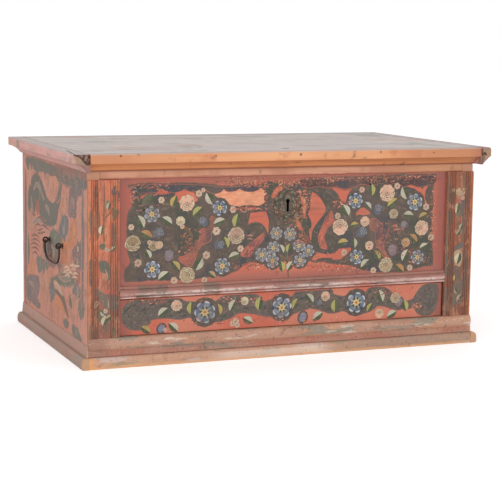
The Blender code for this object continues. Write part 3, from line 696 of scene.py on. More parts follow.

# %% [markdown]
# ## The rod at the waist
# The half-round rod stands proud, so its crest is rubbed while dark paint stays on in
# stretches. The pale line along the crest is that wear and also a painted highlight. A stretch
# is a distance along the rod from a pixel, with a ragged end.

# %% The rod at the waist
waist = ground("waist_rod_paint", "X", (192, 130, 116), (196, 152, 138), (160, 118, 108), 0.05)
rod_patches = waist.noise(1.0, 5.0, (9.0, 22.0, 22.0))
waist.coat((122, 114, 104), waist.step(rod_patches, 0.5, 0.56) * 0.85, 0.3)
broken = waist.step(waist.noise(1.0, 5.0, (26.0, 60.0, 60.0)), 0.44, 0.54)
rod_depth = waist.y + waist.noise(70.0, 5.0) * 0.008
rubbed = broken * waist.step(rod_depth, waist_low.y + 0.008, waist_low.y + 0.005)
upper = waist.step(waist.z + waist.noise(40.0, 4.0) * 0.006, waist_low.z + 0.014, waist_low.z + 0.021)
waist.coat((156, 108, 96), upper * 0.8)
pale_runs = waist.step(waist.noise(1.0, 5.0, (14.0, 30.0, 30.0)), 0.38, 0.5)
waist.coat((216, 186, 178), (1 - upper) * pale_runs * 0.8)
WAIST_DARK = ((150.5, 292.8, 0.042, 0.65), (211, 287.5, 0.025, 0.65), (295, 283.8, 0.058, 0.3))
WAIST_LEAVES = (
    (144.5, 292.8, 0.003), (147, 294.4, 0.0034), (149.6, 295.8, 0.003), (157, 293, 0.0026),
    (160, 291.8, 0.0026), (230, 288, 0.0028), (233, 289.2, 0.003), (236, 290.4, 0.0026),
)
ragged_end = waist.noise(40.0, 4.0) * 0.03
for across, down, half, share in WAIST_DARK:
    along_rod = waist.x - panel_board.at_pixel(across, down).x
    stretch = waist.step(along_rod.size() + ragged_end, half + 0.018, half + 0.01)
    kept_dark = waist.step(waist.noise(1.0, 5.0, (20.0, 60.0, 60.0)), 0.38, 0.46)
    waist.coat((112, 104, 92), stretch * kept_dark * share)
for leaf_spot in WAIST_LEAVES:
    waist.coat((186, 178, 156), pixel_spot(waist, panel_board, *leaf_spot, 0.5) * 0.85)
# Pale line on the crest: rubbed paint, and also a painted highlight along the rod.
waist.coat((232, 216, 206), rubbed * waist.step(waist.z, waist_low.z + 0.015, waist_low.z + 0.01) * 0.85)
waist.streaks((128, 92, 84), (16.0, 70.0, 70.0), 0.54, 0.6, 0.4)
waist.patches((96, 70, 60), 120.0, 0.6, 0.68, 0.7)
waist_paint = closed(waist, 0.5)
print("Dark stretches on the rod:", len(WAIST_DARK))

# %% [markdown]
# ## The base moulding
# A bead over a flat. The flat has kept more red, and it is darker where it meets the plinth.

# %% The base moulding
base = ground("base_brown_pink", "X", (190, 146, 124), (196, 148, 120), (166, 124, 106), 0.045)
base.streaks((142, 136, 122), (6.0, 26.0, 26.0), 0.53, 0.59, 0.8)
base.streaks((224, 206, 190), (8.0, 40.0, 40.0), 0.6, 0.66, 0.7)
flat_top = base.step(base.z, bead_high.z - 0.03, bead_high.z - 0.033)
flat_red = base.step(base.noise(1.0, 3.0, (5.0, 9.0, 9.0)), 0.46, 0.58)
base.coat((188, 112, 88), flat_top * flat_red * 0.8)
base.coat((150, 112, 100), flat_top * 0.3)
base.cover((156, 112, 94), base.x, -0.49, -0.53, 0.7)
base.cover((110, 70, 54), base.z, plinth_high.z + 0.004, plinth_high.z + 0.001, 0.7)
base.patches((230, 210, 190), 190.0, 0.61, 0.68, 0.35, 5.0)
base.patches((96, 66, 54), 120.0, 0.6, 0.68, 0.6)
base_paint = finished(base, 0.5, 0.5)
print("The base has", len(base.tree.nodes), "nodes")

# %% [markdown]
# ## The plinth
# Shoes and brooms strike it, so its toe and its left corner are down to the wood. The pale
# middle and the browner right part are soft ranges along its length.

# %% The plinth
PLINTH_MIDDLE = (270, 355)
plinth = ground("plinth_brown_pink", "X", (198, 152, 128), (210, 164, 128), (166, 126, 110), 0.05)
plinth.streaks((206, 184, 174), (7.0, 34.0, 34.0), 0.52, 0.6, 0.7)
plinth.streaks((142, 136, 116), (11.0, 40.0, 40.0), 0.58, 0.64, 0.6, 4.0)
off_middle = plinth.x - panel_board.at_pixel(*PLINTH_MIDDLE).x
pale_middle = plinth.step(off_middle.size() + plinth.cloud * 0.1, 0.26, 0.16)
below_top = plinth.step(plinth.z, plinth_high.z - 0.004, plinth_high.z - 0.01)
plinth.coat((228, 204, 188), pale_middle * below_top * 0.6)
plinth.cover((158, 130, 114), plinth.x + plinth.cloud * 0.1, 0.14, 0.28, 0.7)
plinth.patches((232, 208, 184), 190.0, 0.61, 0.68, 0.35, 5.0)
plinth.patches((110, 80, 66), 120.0, 0.61, 0.68, 0.5)
toe = plinth.z + plinth.noise(40.0, 4.0) * 0.008
plinth.cover((226, 172, 128), toe, plinth_low.z + 0.014, plinth_low.z + 0.007, 0.8)
corner = plinth.step(plinth.x - plinth.noise(14.0) * 0.04, plinth_low.x + 0.02, plinth_low.x - 0.03)
plinth.coat((232, 166, 104), corner)
plinth_paint = finished(plinth, 0.4, 0.5)
print("The plinth's finish:", plinth_paint.name)

# %% [markdown]
# ## The plinth's sides and the raw boards
# The sides are greyer than the front. Boards that nobody was meant to see, behind and inside,
# were never painted, so they get only grain and grime.

# %% The plinth's sides and the raw boards
plinth_side = ground("plinth_side_grey", "Y", (166, 142, 126), (180, 132, 118), (142, 128, 116), 0.02)
plinth_side.patches((186, 128, 120), 12.0, 0.56, 0.68, 0.6)
plinth_side.cover((192, 148, 132), plinth_side.z, plinth_high.z, plinth_high.z + 0.004, 0.8)
plinth_side.cover((206, 156, 116), plinth_side.y, plinth_low.y + 0.016, plinth_low.y + 0.008, 0.75)
plinth_side_paint = finished(plinth_side, 0.4, 0.4)

raw = pine("raw_old_pine", "X", RAW_LIGHT, RAW_DARK, RAW_LATE)
raw_wood = finished(raw, 0.5, 0.6, 0.6, 0.85)
raw_side = pine("raw_old_pine_lengthwise", "Y", RAW_LIGHT, RAW_DARK, RAW_LATE)
raw_side_wood = finished(raw_side, 0.5, 0.6, 0.6, 0.85)
print("Finishes so far:", len(bpy.data.materials))

# %% [markdown]
# ## Iron
# The smith's fittings are forged, not cast: the hammer leaves shallow facets and the fire
# leaves a dark brown skin that rusts in spots. Metal that is fully metallic mirrors the
# white room, so the skin's mask turns the metal down where it is rusty.

# %% Iron finishes
OLIVE_SKIN = (92, 86, 74)
OLIVE_RUST = (112, 84, 66)


def iron_start(name, skin=OLIVE_SKIN, rust=OLIVE_RUST):
    """Hammered iron with two tints, before anything lies on it."""
    finish = Finish(name)
    facets = finish.noise(70.0, 2.0)
    spots = finish.noise(160.0, 5.0)
    clouds = finish.noise(28.0, 3.0)
    finish.colour = finish.mix(finish.step(clouds, 0.4, 0.62), skin, rust)
    finish.relief = facets * 0.7 + spots * 0.3
    finish.spots = spots
    return finish


def iron(name, skin, rust, bare, bump=0.5):
    finish = iron_start(name, skin, rust)
    rubbed = finish.step(finish.spots, 0.58, 0.7)
    finish.coat(bare, rubbed * 0.6)
    metal = 0.35 + rubbed * 0.35
    roughness = 0.62 - rubbed * 0.16
    return finish.close(roughness, bump, 0.0012, metal)


forged_iron = iron("forged_iron", (50, 34, 30), (84, 50, 38), (112, 96, 86))
lock_iron = iron("painted_lock_iron", OLIVE_SKIN, OLIVE_RUST, (164, 152, 136), 0.7)
print("Iron finishes:", forged_iron.name, lock_iron.name)

# %% [markdown]
# ## Give the frame's boards their finishes
# Boards whose shape is right keep their mesh. Only the material slot changes.

# %% Dress the boards


def dress(node_names, material):
    for name in node_names:
        mesh = nodes[name].data
        mesh.materials.clear()
        mesh.materials.append(material)


DRESSES = (
    (front_paint, ("front_panel", "drawer_front")),
    (pilaster_paint, ("pilaster_left", "pilaster_right")),
    (side_paint, ("side_board_left", "side_board_right")),
    (rail_wood, ("front_top_rail",)),
    (lid_band_wood, ("lid_moulding_front",)),
    (lid_side_paint, ("lid_moulding_left", "lid_moulding_right")),
    (lid_top_paint, ("lid_board_1", "lid_board_2", "lid_board_3")),
    (waist_paint, ("waist_moulding",)),
    (base_paint, ("base_moulding_front",)),
    (plinth_paint, ("plinth_front",)),
    (plinth_side_paint, ("plinth_left", "plinth_right", "base_band_left", "base_band_right")),
    (raw_wood, ("back_board_lower", "back_board_upper", "front_base_rail", "drawer_back")),
    (raw_wood, ("floor_board_1", "floor_board_2", "floor_board_3", "drawer_bottom")),
    (raw_side_wood, ("drawer_side_left", "drawer_side_right", "drawer_runner_left", "drawer_runner_right")),
    (lock_iron, ("escutcheon",)),
)
for material, node_names in DRESSES:
    dress(node_names, material)
IRON = ("hinge_", "handle_", "lock_", "lid_staple")
iron_nodes = [name for name in nodes if name.startswith(IRON)]
dress(iron_nodes, forged_iron)
print("Iron nodes:", len(iron_nodes))

# %% [markdown]
# ## A brush
# Paint could be an image, but then it would blur close to and be lost as a shape. Here each
# touch of the brush is a film of paint about a tenth of a millimetre thick. A dab starts
# as a circle, is drawn out and pinched to a point, and takes its own colour. A filled shape
# is an outline through a few chosen points, rounded between them. Old oil paint thins out
# at its edge, so every corner of a film also carries how dense the paint is there.

# %% Painting tools
FILM = 0.00012
LAYER_STEP = 0.00008
STROKE_STEP = 0.000003
INSET_SHARE = 0.2
RIM_DROP = 0.00002
LENGTH_ROOM = 2.0
WIDTH_ROOM = 0.85
LEAST_WIDTH = 0.2
CURVE_STEPS = 4
RIM_REACH = (0.65, 0.45)
RIM_WAVE = 70
LINE_SOFTNESS = 0.4
TAPER = (0.08, 0.84)
STROKE_SPREAD = (0.6, 1.3)
FLECK_LENGTH = (0.0012, 0.0042)
FLECK_WIDTH = (0.3, 0.6)
FLECK_TURN = 0.5
FLECK_DENSITY = 1.5
FLECK_LAYER = 7
TAU = math.tau


def rounded(points, steps=CURVE_STEPS):
    """A closed curve through the points. A point with a third value is a corner."""
    count = len(points)
    loop = []
    for index in range(count):
        before, start, end, after = (points[(index + shift) % count] for shift in (-1, 0, 1, 2))
        first = Vector(start[:2])
        last = Vector(end[:2])
        leave = (last - first) / 3 if len(start) > 2 else (last - Vector(before[:2])) / 6
        arrive = (last - first) / 3 if len(end) > 2 else (Vector(after[:2]) - first) / 6
        curve = geometry.interpolate_bezier(first, first + leave, last - arrive, last, steps + 1)
        loop += curve[:-1]
    return loop


def away_from_paint(loop, hole):
    """The direction out of the paint at each point of a closed loop."""
    pairs = list(zip(loop, loop[1:] + loop[:1]))
    area = sum(start.x * end.y - end.x * start.y for start, end in pairs)
    sign = 1 if (area > 0) != hole else -1
    normals = []
    for index in range(len(loop)):
        along = loop[(index + 1) % len(loop)] - loop[index - 1]
        normals.append(Vector((along.y, -along.x)).normalized() * sign)
    return normals


def inset(loop, normals, distance):
    """The loop moved into the paint, but not where that would fold it over itself."""
    moved = [spot - normal * distance for spot, normal in zip(loop, normals)]
    kept = []
    for index, spot in enumerate(loop):
        before, after = index - 1, (index + 1) % len(loop)
        folds = (moved[index] - moved[before]).dot(spot - loop[before]) <= 0
        folds = folds or (moved[after] - moved[index]).dot(loop[after] - spot) <= 0
        kept.append(spot if folds else moved[index])
    return kept


def is_inside(point, loops):
    """Whether a point lies in the paint between an outline and its holes."""
    crossings = 0
    for loop in loops:
        for start, end in zip(loop, loop[1:] + loop[:1]):
            if (start.y > point.y) != (end.y > point.y):
                share = (point.y - start.y) / (end.y - start.y)
                crossings += point.x < start.x + share * (end.x - start.x)
    return crossings % 2 == 1


print("A film in millimetres:", FILM * 1000)

# %% [markdown]
# ## The paint of one board
# A Painting gathers all the films of one board in one bmesh. Films that cross at one height
# would flicker, so each takes the lowest free level of its layer, a few thousandths of a
# millimetre above the last.

# %% A painting


class Painting:
    """All the paint on one board, as thin closed films."""

    def __init__(self, name, board):
        self.name = name
        self.board = board
        self.shape = bmesh.new()
        self.tint = self.shape.verts.layers.float_color.new("paint")
        self.laid = {}

    def height(self, layer, middle, reach):
        """The lowest level in a layer where no film that meets this one lies already."""
        films = self.laid.setdefault(layer, [])
        taken = {level for spot, far, level in films if (spot - middle).length < far + reach}
        level = min(set(range(len(taken) + 1)) - taken)
        films.append((middle, reach, level))
        return layer * LAYER_STEP + level * STROKE_STEP + FILM

    def point(self, place, height, colour, density=1.0):
        vert = self.shape.verts.new((*self.board.clamp(place), height))
        vert[self.tint] = (*colour[:3], density)
        return vert

    def touch(self, centre, size, turn, paint, layer, pinch=0.0, bend=0.0, half=False, sides=12, fan=False):
        """A round touch of the brush, with one paint at its rim and one inside."""
        made = bmesh.ops.create_circle(self.shape, cap_ends=True, cap_tris=fan, segments=sides, radius=1)
        height = self.height(layer, Vector(centre), max(size) + abs(bend))
        right = Vector((math.cos(turn), math.sin(turn)))
        up = Vector((-right.y, right.x))
        for vert in made["verts"]:
            inside = vert.co.length < 0.5
            room = max(1 - vert.co.x * vert.co.x, 0.0)
            rise = vert.co.y * room ** pinch
            rise = max(rise, 0.0) if half else rise
            place = Vector(centre) + right * size[0] * vert.co.x + up * (size[1] * rise + bend * room)
            vert.co = (*self.board.clamp(place), height)
            vert[self.tint] = paint[inside]

    def dab(self, centre, size, turn, colour, layer, pinch=0.0, bend=0.0, half=False, sides=12, density=1.0):
        """A touch of one even paint."""
        paint = (*colour[:3], density)
        self.touch(centre, size, turn, (paint, paint), layer, pinch, bend, half, sides)

    def glaze(self, centre, size, turn, colour, layer, density=0.7, under=None):
        """A thin touch that fades to the ground, or to the paint that it lies on."""
        rim = (*under[:3], 1.0) if under else (*colour[:3], 0.0)
        self.touch(centre, size, turn, (rim, (*colour[:3], 1.0 if under else density)), layer, fan=True)

    def fill(self, loops, softness, colour, layer):
        """Fills the first loop and leaves the others open, with rims that fade out."""
        middle = sum(loops[0], Vector((0, 0))) / len(loops[0])
        far_out = max((spot - middle).length for spot in loops[0])
        height = self.height(layer, middle, far_out + softness[0])
        edges = []
        rims = []
        for index, loop in enumerate(loops):
            soft = softness[index]
            normals = away_from_paint(loop, index > 0)
            inner = inset(loop, normals, soft * INSET_SHARE)
            ring = self.ring([self.point(spot, height, colour) for spot in inner])
            edges += ring
            if soft:
                rims.append((loop, normals, soft, ring))
        bmesh.ops.triangle_fill(self.shape, use_beauty=True, edges=edges)
        for loop, normals, soft, ring in rims:
            self.rim(loop, normals, soft, ring, height, colour)

    def ring(self, verts):
        """A closed chain of edges."""
        return [self.shape.edges.new(pair) for pair in zip(verts, verts[1:] + verts[:1])]

    def rim(self, loop, normals, soft, near, height, colour):
        """A strip of paint round the filled shape that fades to nothing."""
        far = []
        for spot, normal in zip(loop, normals):
            wave = noise.noise(Vector((spot.x * RIM_WAVE, spot.y * RIM_WAVE, 1)))
            reach = soft * (RIM_REACH[0] + RIM_REACH[1] * wave)
            far.append(self.point(spot + normal * reach, height - RIM_DROP, colour, 0.0))
        bmesh.ops.bridge_loops(self.shape, edges=near + self.ring(far))

    def placed(self, outline):
        """Turns an outline in pixels of the photograph into a rounded loop on the board."""
        return rounded([(*self.board.at_pixel(point[0], point[1]), *point[2:]) for point in outline])

    def fill_pixels(self, outlines, softness, colour, layer):
        self.fill([self.placed(outline) for outline in outlines], softness, colour, layer)

    def line(self, route, width, colour, layer):
        """A long stroke through a few pixels of the photograph, thin at its ends."""
        points = [self.board.at_pixel(across, down) for across, down in route]
        left = []
        right = []
        for index, point in enumerate(points):
            ahead = points[min(index + 1, len(points) - 1)] - points[max(index - 1, 0)]
            normal = Vector((-ahead.y, ahead.x)).normalized()
            share = TAPER[0] + TAPER[1] * index / (len(points) - 1)
            half = width / 2 * math.sin(math.pi * share)
            left.append(tuple(point + normal * half))
            right.append(tuple(point - normal * half))
        self.fill([rounded(left + right[::-1], 3)], [width * LINE_SOFTNESS], colour, layer)

    def hatch(self, loops, count, tints, size, turn_at, layer, density=0.8, under=None):
        """Soft strokes that stay inside the loops and follow a direction."""
        low = Vector((min(spot.x for spot in loops[0]), min(spot.y for spot in loops[0])))
        high = Vector((max(spot.x for spot in loops[0]), max(spot.y for spot in loops[0])))
        for _ in range(count):
            spot = Vector((chance.uniform(low.x, high.x), chance.uniform(low.y, high.y)))
            if is_inside(spot, loops):
                room = min((point - spot).length for loop in loops for point in loop)
                length = min(size[0] * chance.uniform(*STROKE_SPREAD), room * LENGTH_ROOM)
                width = min(size[1] * chance.uniform(*STROKE_SPREAD), room * WIDTH_ROOM)
                if width > size[1] * LEAST_WIDTH:
                    turn = turn_at(spot)
                    self.glaze(spot, (length, width), turn, chance.choice(tints), layer, density, under)

    def flecks(self, tints, middle_across, middle_down, wide, high, count):
        """Small flat chips scattered round a pixel of the photograph."""
        for _ in range(count):
            across = chance.gauss(middle_across, wide)
            down = chance.gauss(middle_down, high)
            length = chance.uniform(*FLECK_LENGTH)
            size = (length, length * chance.uniform(*FLECK_WIDTH))
            turn = chance.gauss(0, FLECK_TURN)
            tint = chance.choice(tints)
            self.glaze(self.board.at_pixel(across, down), size, turn, tint, FLECK_LAYER, FLECK_DENSITY)

    def cut_grooves(self, edges):
        """Opens the films where the board has a groove, between each pair of edges."""
        for place in edges:
            parts = self.shape.verts[:] + self.shape.edges[:] + self.shape.faces[:]
            bmesh.ops.bisect_plane(self.shape, geom=parts, plane_co=(place, 0, 0), plane_no=X_AXIS)
        grooves = list(zip(edges[::2], edges[1::2]))
        sunk = []
        for face in self.shape.faces:
            middle = face.calc_center_median().x
            if any(start < middle < end for start, end in grooves):
                sunk.append(face)
        bmesh.ops.delete(self.shape, geom=sunk, context="FACES")

    def done(self, body, material):
        """Thickens the films, lays them on the board and hands the piece to its body."""
        grown = bmesh.ops.extrude_face_region(self.shape, geom=self.shape.faces[:])
        moved = [part for part in grown["geom"] if isinstance(part, bmesh.types.BMVert)]
        bmesh.ops.translate(self.shape, vec=(0, 0, -FILM), verts=moved)
        bmesh.ops.transform(self.shape, matrix=self.board.matrix(), verts=self.shape.verts)
        return hand_over(self.name, self.shape, material, body)


print("Layers lie", LAYER_STEP * 1000, "mm apart")

# %% [markdown]
# ## Oil paint
# The strokes' finish is the finish of their ground with one more coat, laid as dense as the
# film says, so a thin rim melts into the board and worn spots go through both. A finished
# shape is told which body it rides on, so the garland moves with the drawer.

# %% Hand over a piece in oil paint


def hand_over(name, shape, material, body, smooth=None):
    """Makes the finished bmesh an object that rides on a body of the frame."""
    bmesh.ops.recalc_face_normals(shape, faces=shape.faces)
    mesh = bpy.data.meshes.new(name)
    shape.to_mesh(mesh)
    shape.free()
    mesh.materials.append(material)
    if smooth:
        mesh.shade_smooth()
        mesh.set_sharp_from_angle(angle=math.radians(smooth))
    piece = bpy.data.objects.new(name, mesh)
    scene.collection.objects.link(piece)
    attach(piece, body)
    print(name, "has", len(mesh.polygons), "faces")
    return piece


CLOUDS = ((9.0, (68, 75, 65)), (6.0, (110, 90, 80)), (12.0, (62, 65, 74)))
HAIR_TINT = (200, 176, 156)
DIRT_TINT = (112, 92, 80)


def oil_paint(finish, clouded=False):
    """One more coat on a ground: the strokes, as dense as they say and worn alike."""
    stroke, density = finish.painted("paint")
    hairs = finish.noise(170.0, 3.0)
    tint = finish.mix(finish.step(hairs, 0.5, 0.7) * 0.16, stroke, HAIR_TINT)
    tint = finish.mix(finish.step(finish.noise(34.0, 4.0), 0.46, 0.7) * 0.3, tint, DIRT_TINT)
    for scale, cloud_tint in CLOUDS if clouded else ():
        cloud = finish.step(finish.noise(scale, 3.0), 0.5, 0.66)
        tint = finish.mix(cloud * 0.75, tint, cloud_tint)
    thick = finish.step(density + (hairs - 0.5) * 0.6, 0.1, 0.85)
    finish.coat(tint, thick * finish.kept, 0.3)
    return closed(finish, 0.35)


field_paint = oil_paint(front_ground("oil_field_on_red"), True)
front_stroke_paint = oil_paint(front_ground("oil_strokes_on_red"))
pilaster_stroke_paint = oil_paint(pilaster_ground("oil_strokes_on_pilaster"))
side_stroke_paint = oil_paint(side_ground("oil_strokes_on_pink"))
print("Paints:", [name for name in bpy.data.materials.keys() if name.startswith("oil")])

# %% [markdown]
# ## Flowers and leaves
# A country painter loads the brush once for each petal, so a rosette is a dark lobed ground,
# a ring of blue dabs, pale arcs on their rims and a star with an orange eye. Roses are a
# smooth pink ball, and one side of it is combed with rows of curved cream strokes. A leaf
# has a dark green half and a lit half with a comb of fine lines. Each is a short function,
# and small random turns keep two from looking alike.

# %% Motifs
NAVY = srgb(60, 66, 74)
BLUES = (srgb(98, 112, 138), srgb(114, 122, 138), srgb(94, 112, 126), srgb(128, 132, 148))
FADED = srgb(150, 134, 122)
PALE_BLUE = srgb(184, 188, 190)
BUD_RIM = srgb(140, 138, 142)
STAR = srgb(208, 190, 132)
INNER_RING = srgb(152, 150, 138)
CREAM = srgb(208, 192, 160)
WHITE = srgb(194, 188, 166)
BEIGE = srgb(172, 150, 120)
ROSE_PINK = srgb(220, 174, 148)
DULL_PINK = srgb(194, 146, 126)
DARK_PINK = srgb(150, 88, 84)
YELLOW = srgb(182, 158, 92)
LIME = srgb(172, 166, 98)
OCHRE = srgb(184, 134, 86)
ORANGE = srgb(198, 106, 64)
LEAF_GREEN = srgb(70, 82, 56)
BROWN_LINE = srgb(112, 88, 70)
COMB_LINE = srgb(134, 128, 100)
DOWN = -math.pi / 2
DARK_SCROLL = srgb(89, 77, 68)
ROSE_PETALS = 8


def vary(colour, amount=0.1):
    """The same colour, a little lighter or darker."""
    change = 1 + chance.uniform(-amount, amount)
    return tuple(min(level * change, 1.0) for level in colour[:3])


def around(centre, reach, angle):
    return (centre[0] + reach * math.cos(angle), centre[1] + reach * math.sin(angle))


def blot(art, centre, radius, colour, layer, lobes=7, depth=0.08):
    """A ball of paint with a wavy rim."""
    phase = chance.uniform(0, TAU)
    outline = []
    for step in range(lobes * 4):
        angle = TAU * step / (lobes * 4)
        reach = radius * (1 - depth + depth * math.cos(lobes * angle + phase))
        outline.append(Vector(around(centre, reach, angle)))
    art.fill([outline], [0.0], colour, layer)


def blend(colour, other, share):
    """A colour mixed with another on the palette."""
    return tuple(level + (goal - level) * share for level, goal in zip(colour[:3], other[:3]))


def blue_flower(art, centre, radius, fade=0.0, petals=7):
    start = chance.uniform(0, TAU)
    art.glaze(centre, (radius * 1.35, radius * 1.35), 0, NAVY, 3, under=DARK_SCROLL)
    blot(art, centre, radius, blend(NAVY, FADED, fade * 0.4), 4, petals, 0.07)
    for petal in range(petals):
        angle = start + TAU * petal / petals + chance.uniform(-0.12, 0.12)
        across = angle + math.pi / 2
        body = around(centre, radius * 0.7, angle)
        tint = blend(vary(chance.choice(BLUES), 0.2), FADED, fade)
        art.dab(body, (radius * 0.32, radius * 0.24), across, tint, 5)
        rim = around(centre, radius * 0.85, angle)
        rim_tint = blend(vary(PALE_BLUE, 0.2), FADED, fade)
        art.dab(rim, (radius * 0.27, radius * 0.085), across, rim_tint, 6, 0.3, -radius * 0.07)
        inner = around(centre, radius * 0.5, angle + 0.3)
        art.dab(inner, (radius * 0.18, radius * 0.1), angle, vary(INNER_RING, 0.15), 6, 0.4)
    for ray in range(7):
        angle = start + TAU * ray / 7 + 0.2
        tip = around(centre, radius * 0.21, angle)
        star_tint = blend(vary(STAR), FADED, fade * 0.6)
        art.dab(tip, (radius * 0.19, radius * 0.11), angle, star_tint, 8, 0.4, sides=8)
    art.dab(centre, (radius * 0.16, radius * 0.13), start, vary(ORANGE), 9, sides=8)


def rose(art, centre, radius, combed, tint):
    """A ball of paint, combed with rows of curved strokes on one side."""
    pale = blend(CREAM, tint, 0.3)
    blot(art, centre, radius, blend(tint, BROWN_LINE, 0.7), 4, ROSE_PETALS, 0.09)
    phase = chance.uniform(0, TAU)
    for petal in range(ROSE_PETALS):
        angle = phase + TAU * petal / ROSE_PETALS + chance.uniform(-0.1, 0.1)
        spot = around(centre, radius * 0.74, angle)
        art.dab(spot, (radius * 0.27, radius * 0.23), angle + math.pi / 2, vary(tint, 0.09), 5)
    art.dab(centre, (radius * 0.62, radius * 0.58), phase, vary(tint, 0.06), 5, sides=16)
    shade = around(centre, radius * 0.35, combed)
    dull = blend(tint, BROWN_LINE, 0.4)
    art.glaze(shade, (radius * 0.75, radius * 0.6), combed + math.pi / 2, dull, 5, under=tint)
    for row, reach in enumerate((0.86, 0.64, 0.42)):
        count = 7 - row
        for stroke in range(count):
            angle = combed + (stroke / (count - 1) - 0.5) * (3.2 - row * 0.5) + chance.uniform(-0.16, 0.16)
            spot = around(centre, radius * (reach + chance.uniform(-0.05, 0.05)), angle)
            across = angle + math.pi / 2 + chance.uniform(-0.25, 0.25)
            size = (radius * chance.uniform(0.15, 0.24), radius * 0.08)
            art.dab(spot, size, across, vary(pale, 0.12), 6, 0.3, -radius * 0.05)
            gap = around(centre, radius * (reach - 0.11), angle + 0.12)
            art.dab(gap, (radius * 0.14, radius * 0.035), across, vary(BROWN_LINE), 7, 0.4, sides=8)
    for petal in range(5):
        angle = combed + math.pi + (petal / 4 - 0.5) * 2.4 + chance.uniform(-0.1, 0.1)
        spot = around(centre, radius * 0.74, angle)
        size = (radius * 0.3, radius * 0.1)
        art.dab(spot, size, angle + math.pi / 2, vary(blend(pale, tint, 0.4)), 6, 0.3, -radius * 0.07)
    art.dab(centre, (radius * 0.12, radius * 0.09), 0.4, srgb(150, 104, 76), 8, sides=8)


def small_flower(art, centre, radius):
    """A round pale button, scored with short curved strokes round a red eye."""
    body = blend(vary(CREAM, 0.15), DULL_PINK, chance.uniform(0.4, 0.8))
    blot(art, centre, radius, body, 6, 6, 0.09)
    for row, reach in enumerate((0.74, 0.44)):
        for petal in range(6 - row):
            angle = TAU * petal / (6 - row) + chance.uniform(-0.3, 0.3)
            spot = around(centre, radius * reach, angle)
            size = (radius * 0.26, radius * 0.07)
            tint = vary(blend(body, BROWN_LINE, 0.45) if petal % 2 else WHITE, 0.1)
            art.dab(spot, size, angle + math.pi / 2, tint, 7 + row, 0.3, sides=8)
    art.dab(centre, (radius * 0.24, radius * 0.2), 0.5, DARK_PINK, 9, sides=8)


def bud(art, centre, radius, turn, tint):
    """A closed flower: a dull egg with pale arcs that share one focus."""
    art.glaze(centre, (radius * 1.4, radius * 1.2), turn, NAVY, 3, under=DARK_SCROLL)
    art.dab(centre, (radius, radius * 0.8), turn, tint, 4, sides=16)
    focus = around(centre, radius * 0.5, turn + math.pi)
    for arc in range(4):
        reach = radius * (1.3 - 0.3 * arc)
        for step in range(3):
            spot = around(focus, reach, turn + 0.45 * (step - 1))
            size = (radius * 0.24, radius * 0.07)
            art.dab(spot, size, turn + 0.45 * (step - 1) + math.pi / 2, vary(BUD_RIM, 0.2), 6, 0.3)


def leaf(art, centre, length, turn, lit):
    """A leaf along its turn. Its left half is lit and combed, and its right half is dark."""
    right = Vector((math.cos(turn), math.sin(turn)))
    up = Vector((-right.y, right.x))
    dark = Vector(centre) - up * length * 0.1
    art.dab(dark, (length * 0.55, length * 0.3), turn, vary(LEAF_GREEN), 3, 0.35, sides=14)
    base = Vector(centre) - up * length * 0.06
    art.dab(base, (length * 0.52, length * 0.36), turn, vary(lit, 0.06), 6, 0.35, half=True, sides=16)
    for tooth in range(5):
        share = tooth / 4 - 0.5
        spot = Vector(centre) + right * length * share * 0.72 + up * length * 0.09
        size = (length * 0.1, length * 0.014)
        art.dab(spot, size, turn + 1.15, vary(COMB_LINE), 7, 0.3, sides=6, density=0.8)


print("Motifs ready: blue flower, rose, small flower, bud and leaf")

# %% [markdown]
# ## The front panel
# Before any flower the painter laid in two dark scrolled fields and left pockets of the red
# ground open between the scrolls. The field is one outline with holes. Its points are read
# off the photograph, in pixels, only as many as the curve needs. A crisp pocket keeps
# a hard rim, and a feathery one gets a wide soft rim.

# %% The dark field of the front panel
PANEL_FIELD = (
    (128.3, 185.5, 1), (140, 184.2), (152, 183.4), (165, 184), (179, 183.2), (196, 183.8), (212, 184.6),
    (222, 186), (236, 185.6), (248, 184), (258, 185), (264, 183), (268, 181.6), (275, 182), (285, 183.5),
    (296, 182.5), (303, 179.5), (308, 178), (320, 177.8), (345, 177.2), (376, 176), (405, 175),
    (436.2, 174.2, 1), (435, 181), (432.6, 190), (433, 205), (431.5, 225), (432, 245), (432.4, 255),
    (432.3, 265.2, 1), (424, 266), (415, 268), (404, 271), (391, 272), (377, 271.5), (366, 270), (358, 268),
    (350, 265), (343, 264.5), (335, 263.5), (328, 262.5), (322, 261), (315.5, 262.4), (309, 260.5),
    (305, 264), (298, 266), (291, 262), (287.5, 259), (282, 262), (275, 266.5), (266, 265.5), (259, 262.5),
    (248, 262), (240, 268), (232, 272), (222, 274.5), (205, 277), (190, 279), (172, 280.2), (158, 279.3),
    (140, 281), (124.8, 281.6, 1), (124.6, 271.5), (128.5, 266), (130.6, 262), (128.5, 255), (127.4, 247),
    (127.2, 235), (127.6, 222), (128.6, 213), (131.8, 207.5), (133.4, 203), (132.2, 196), (131, 190.5),
)
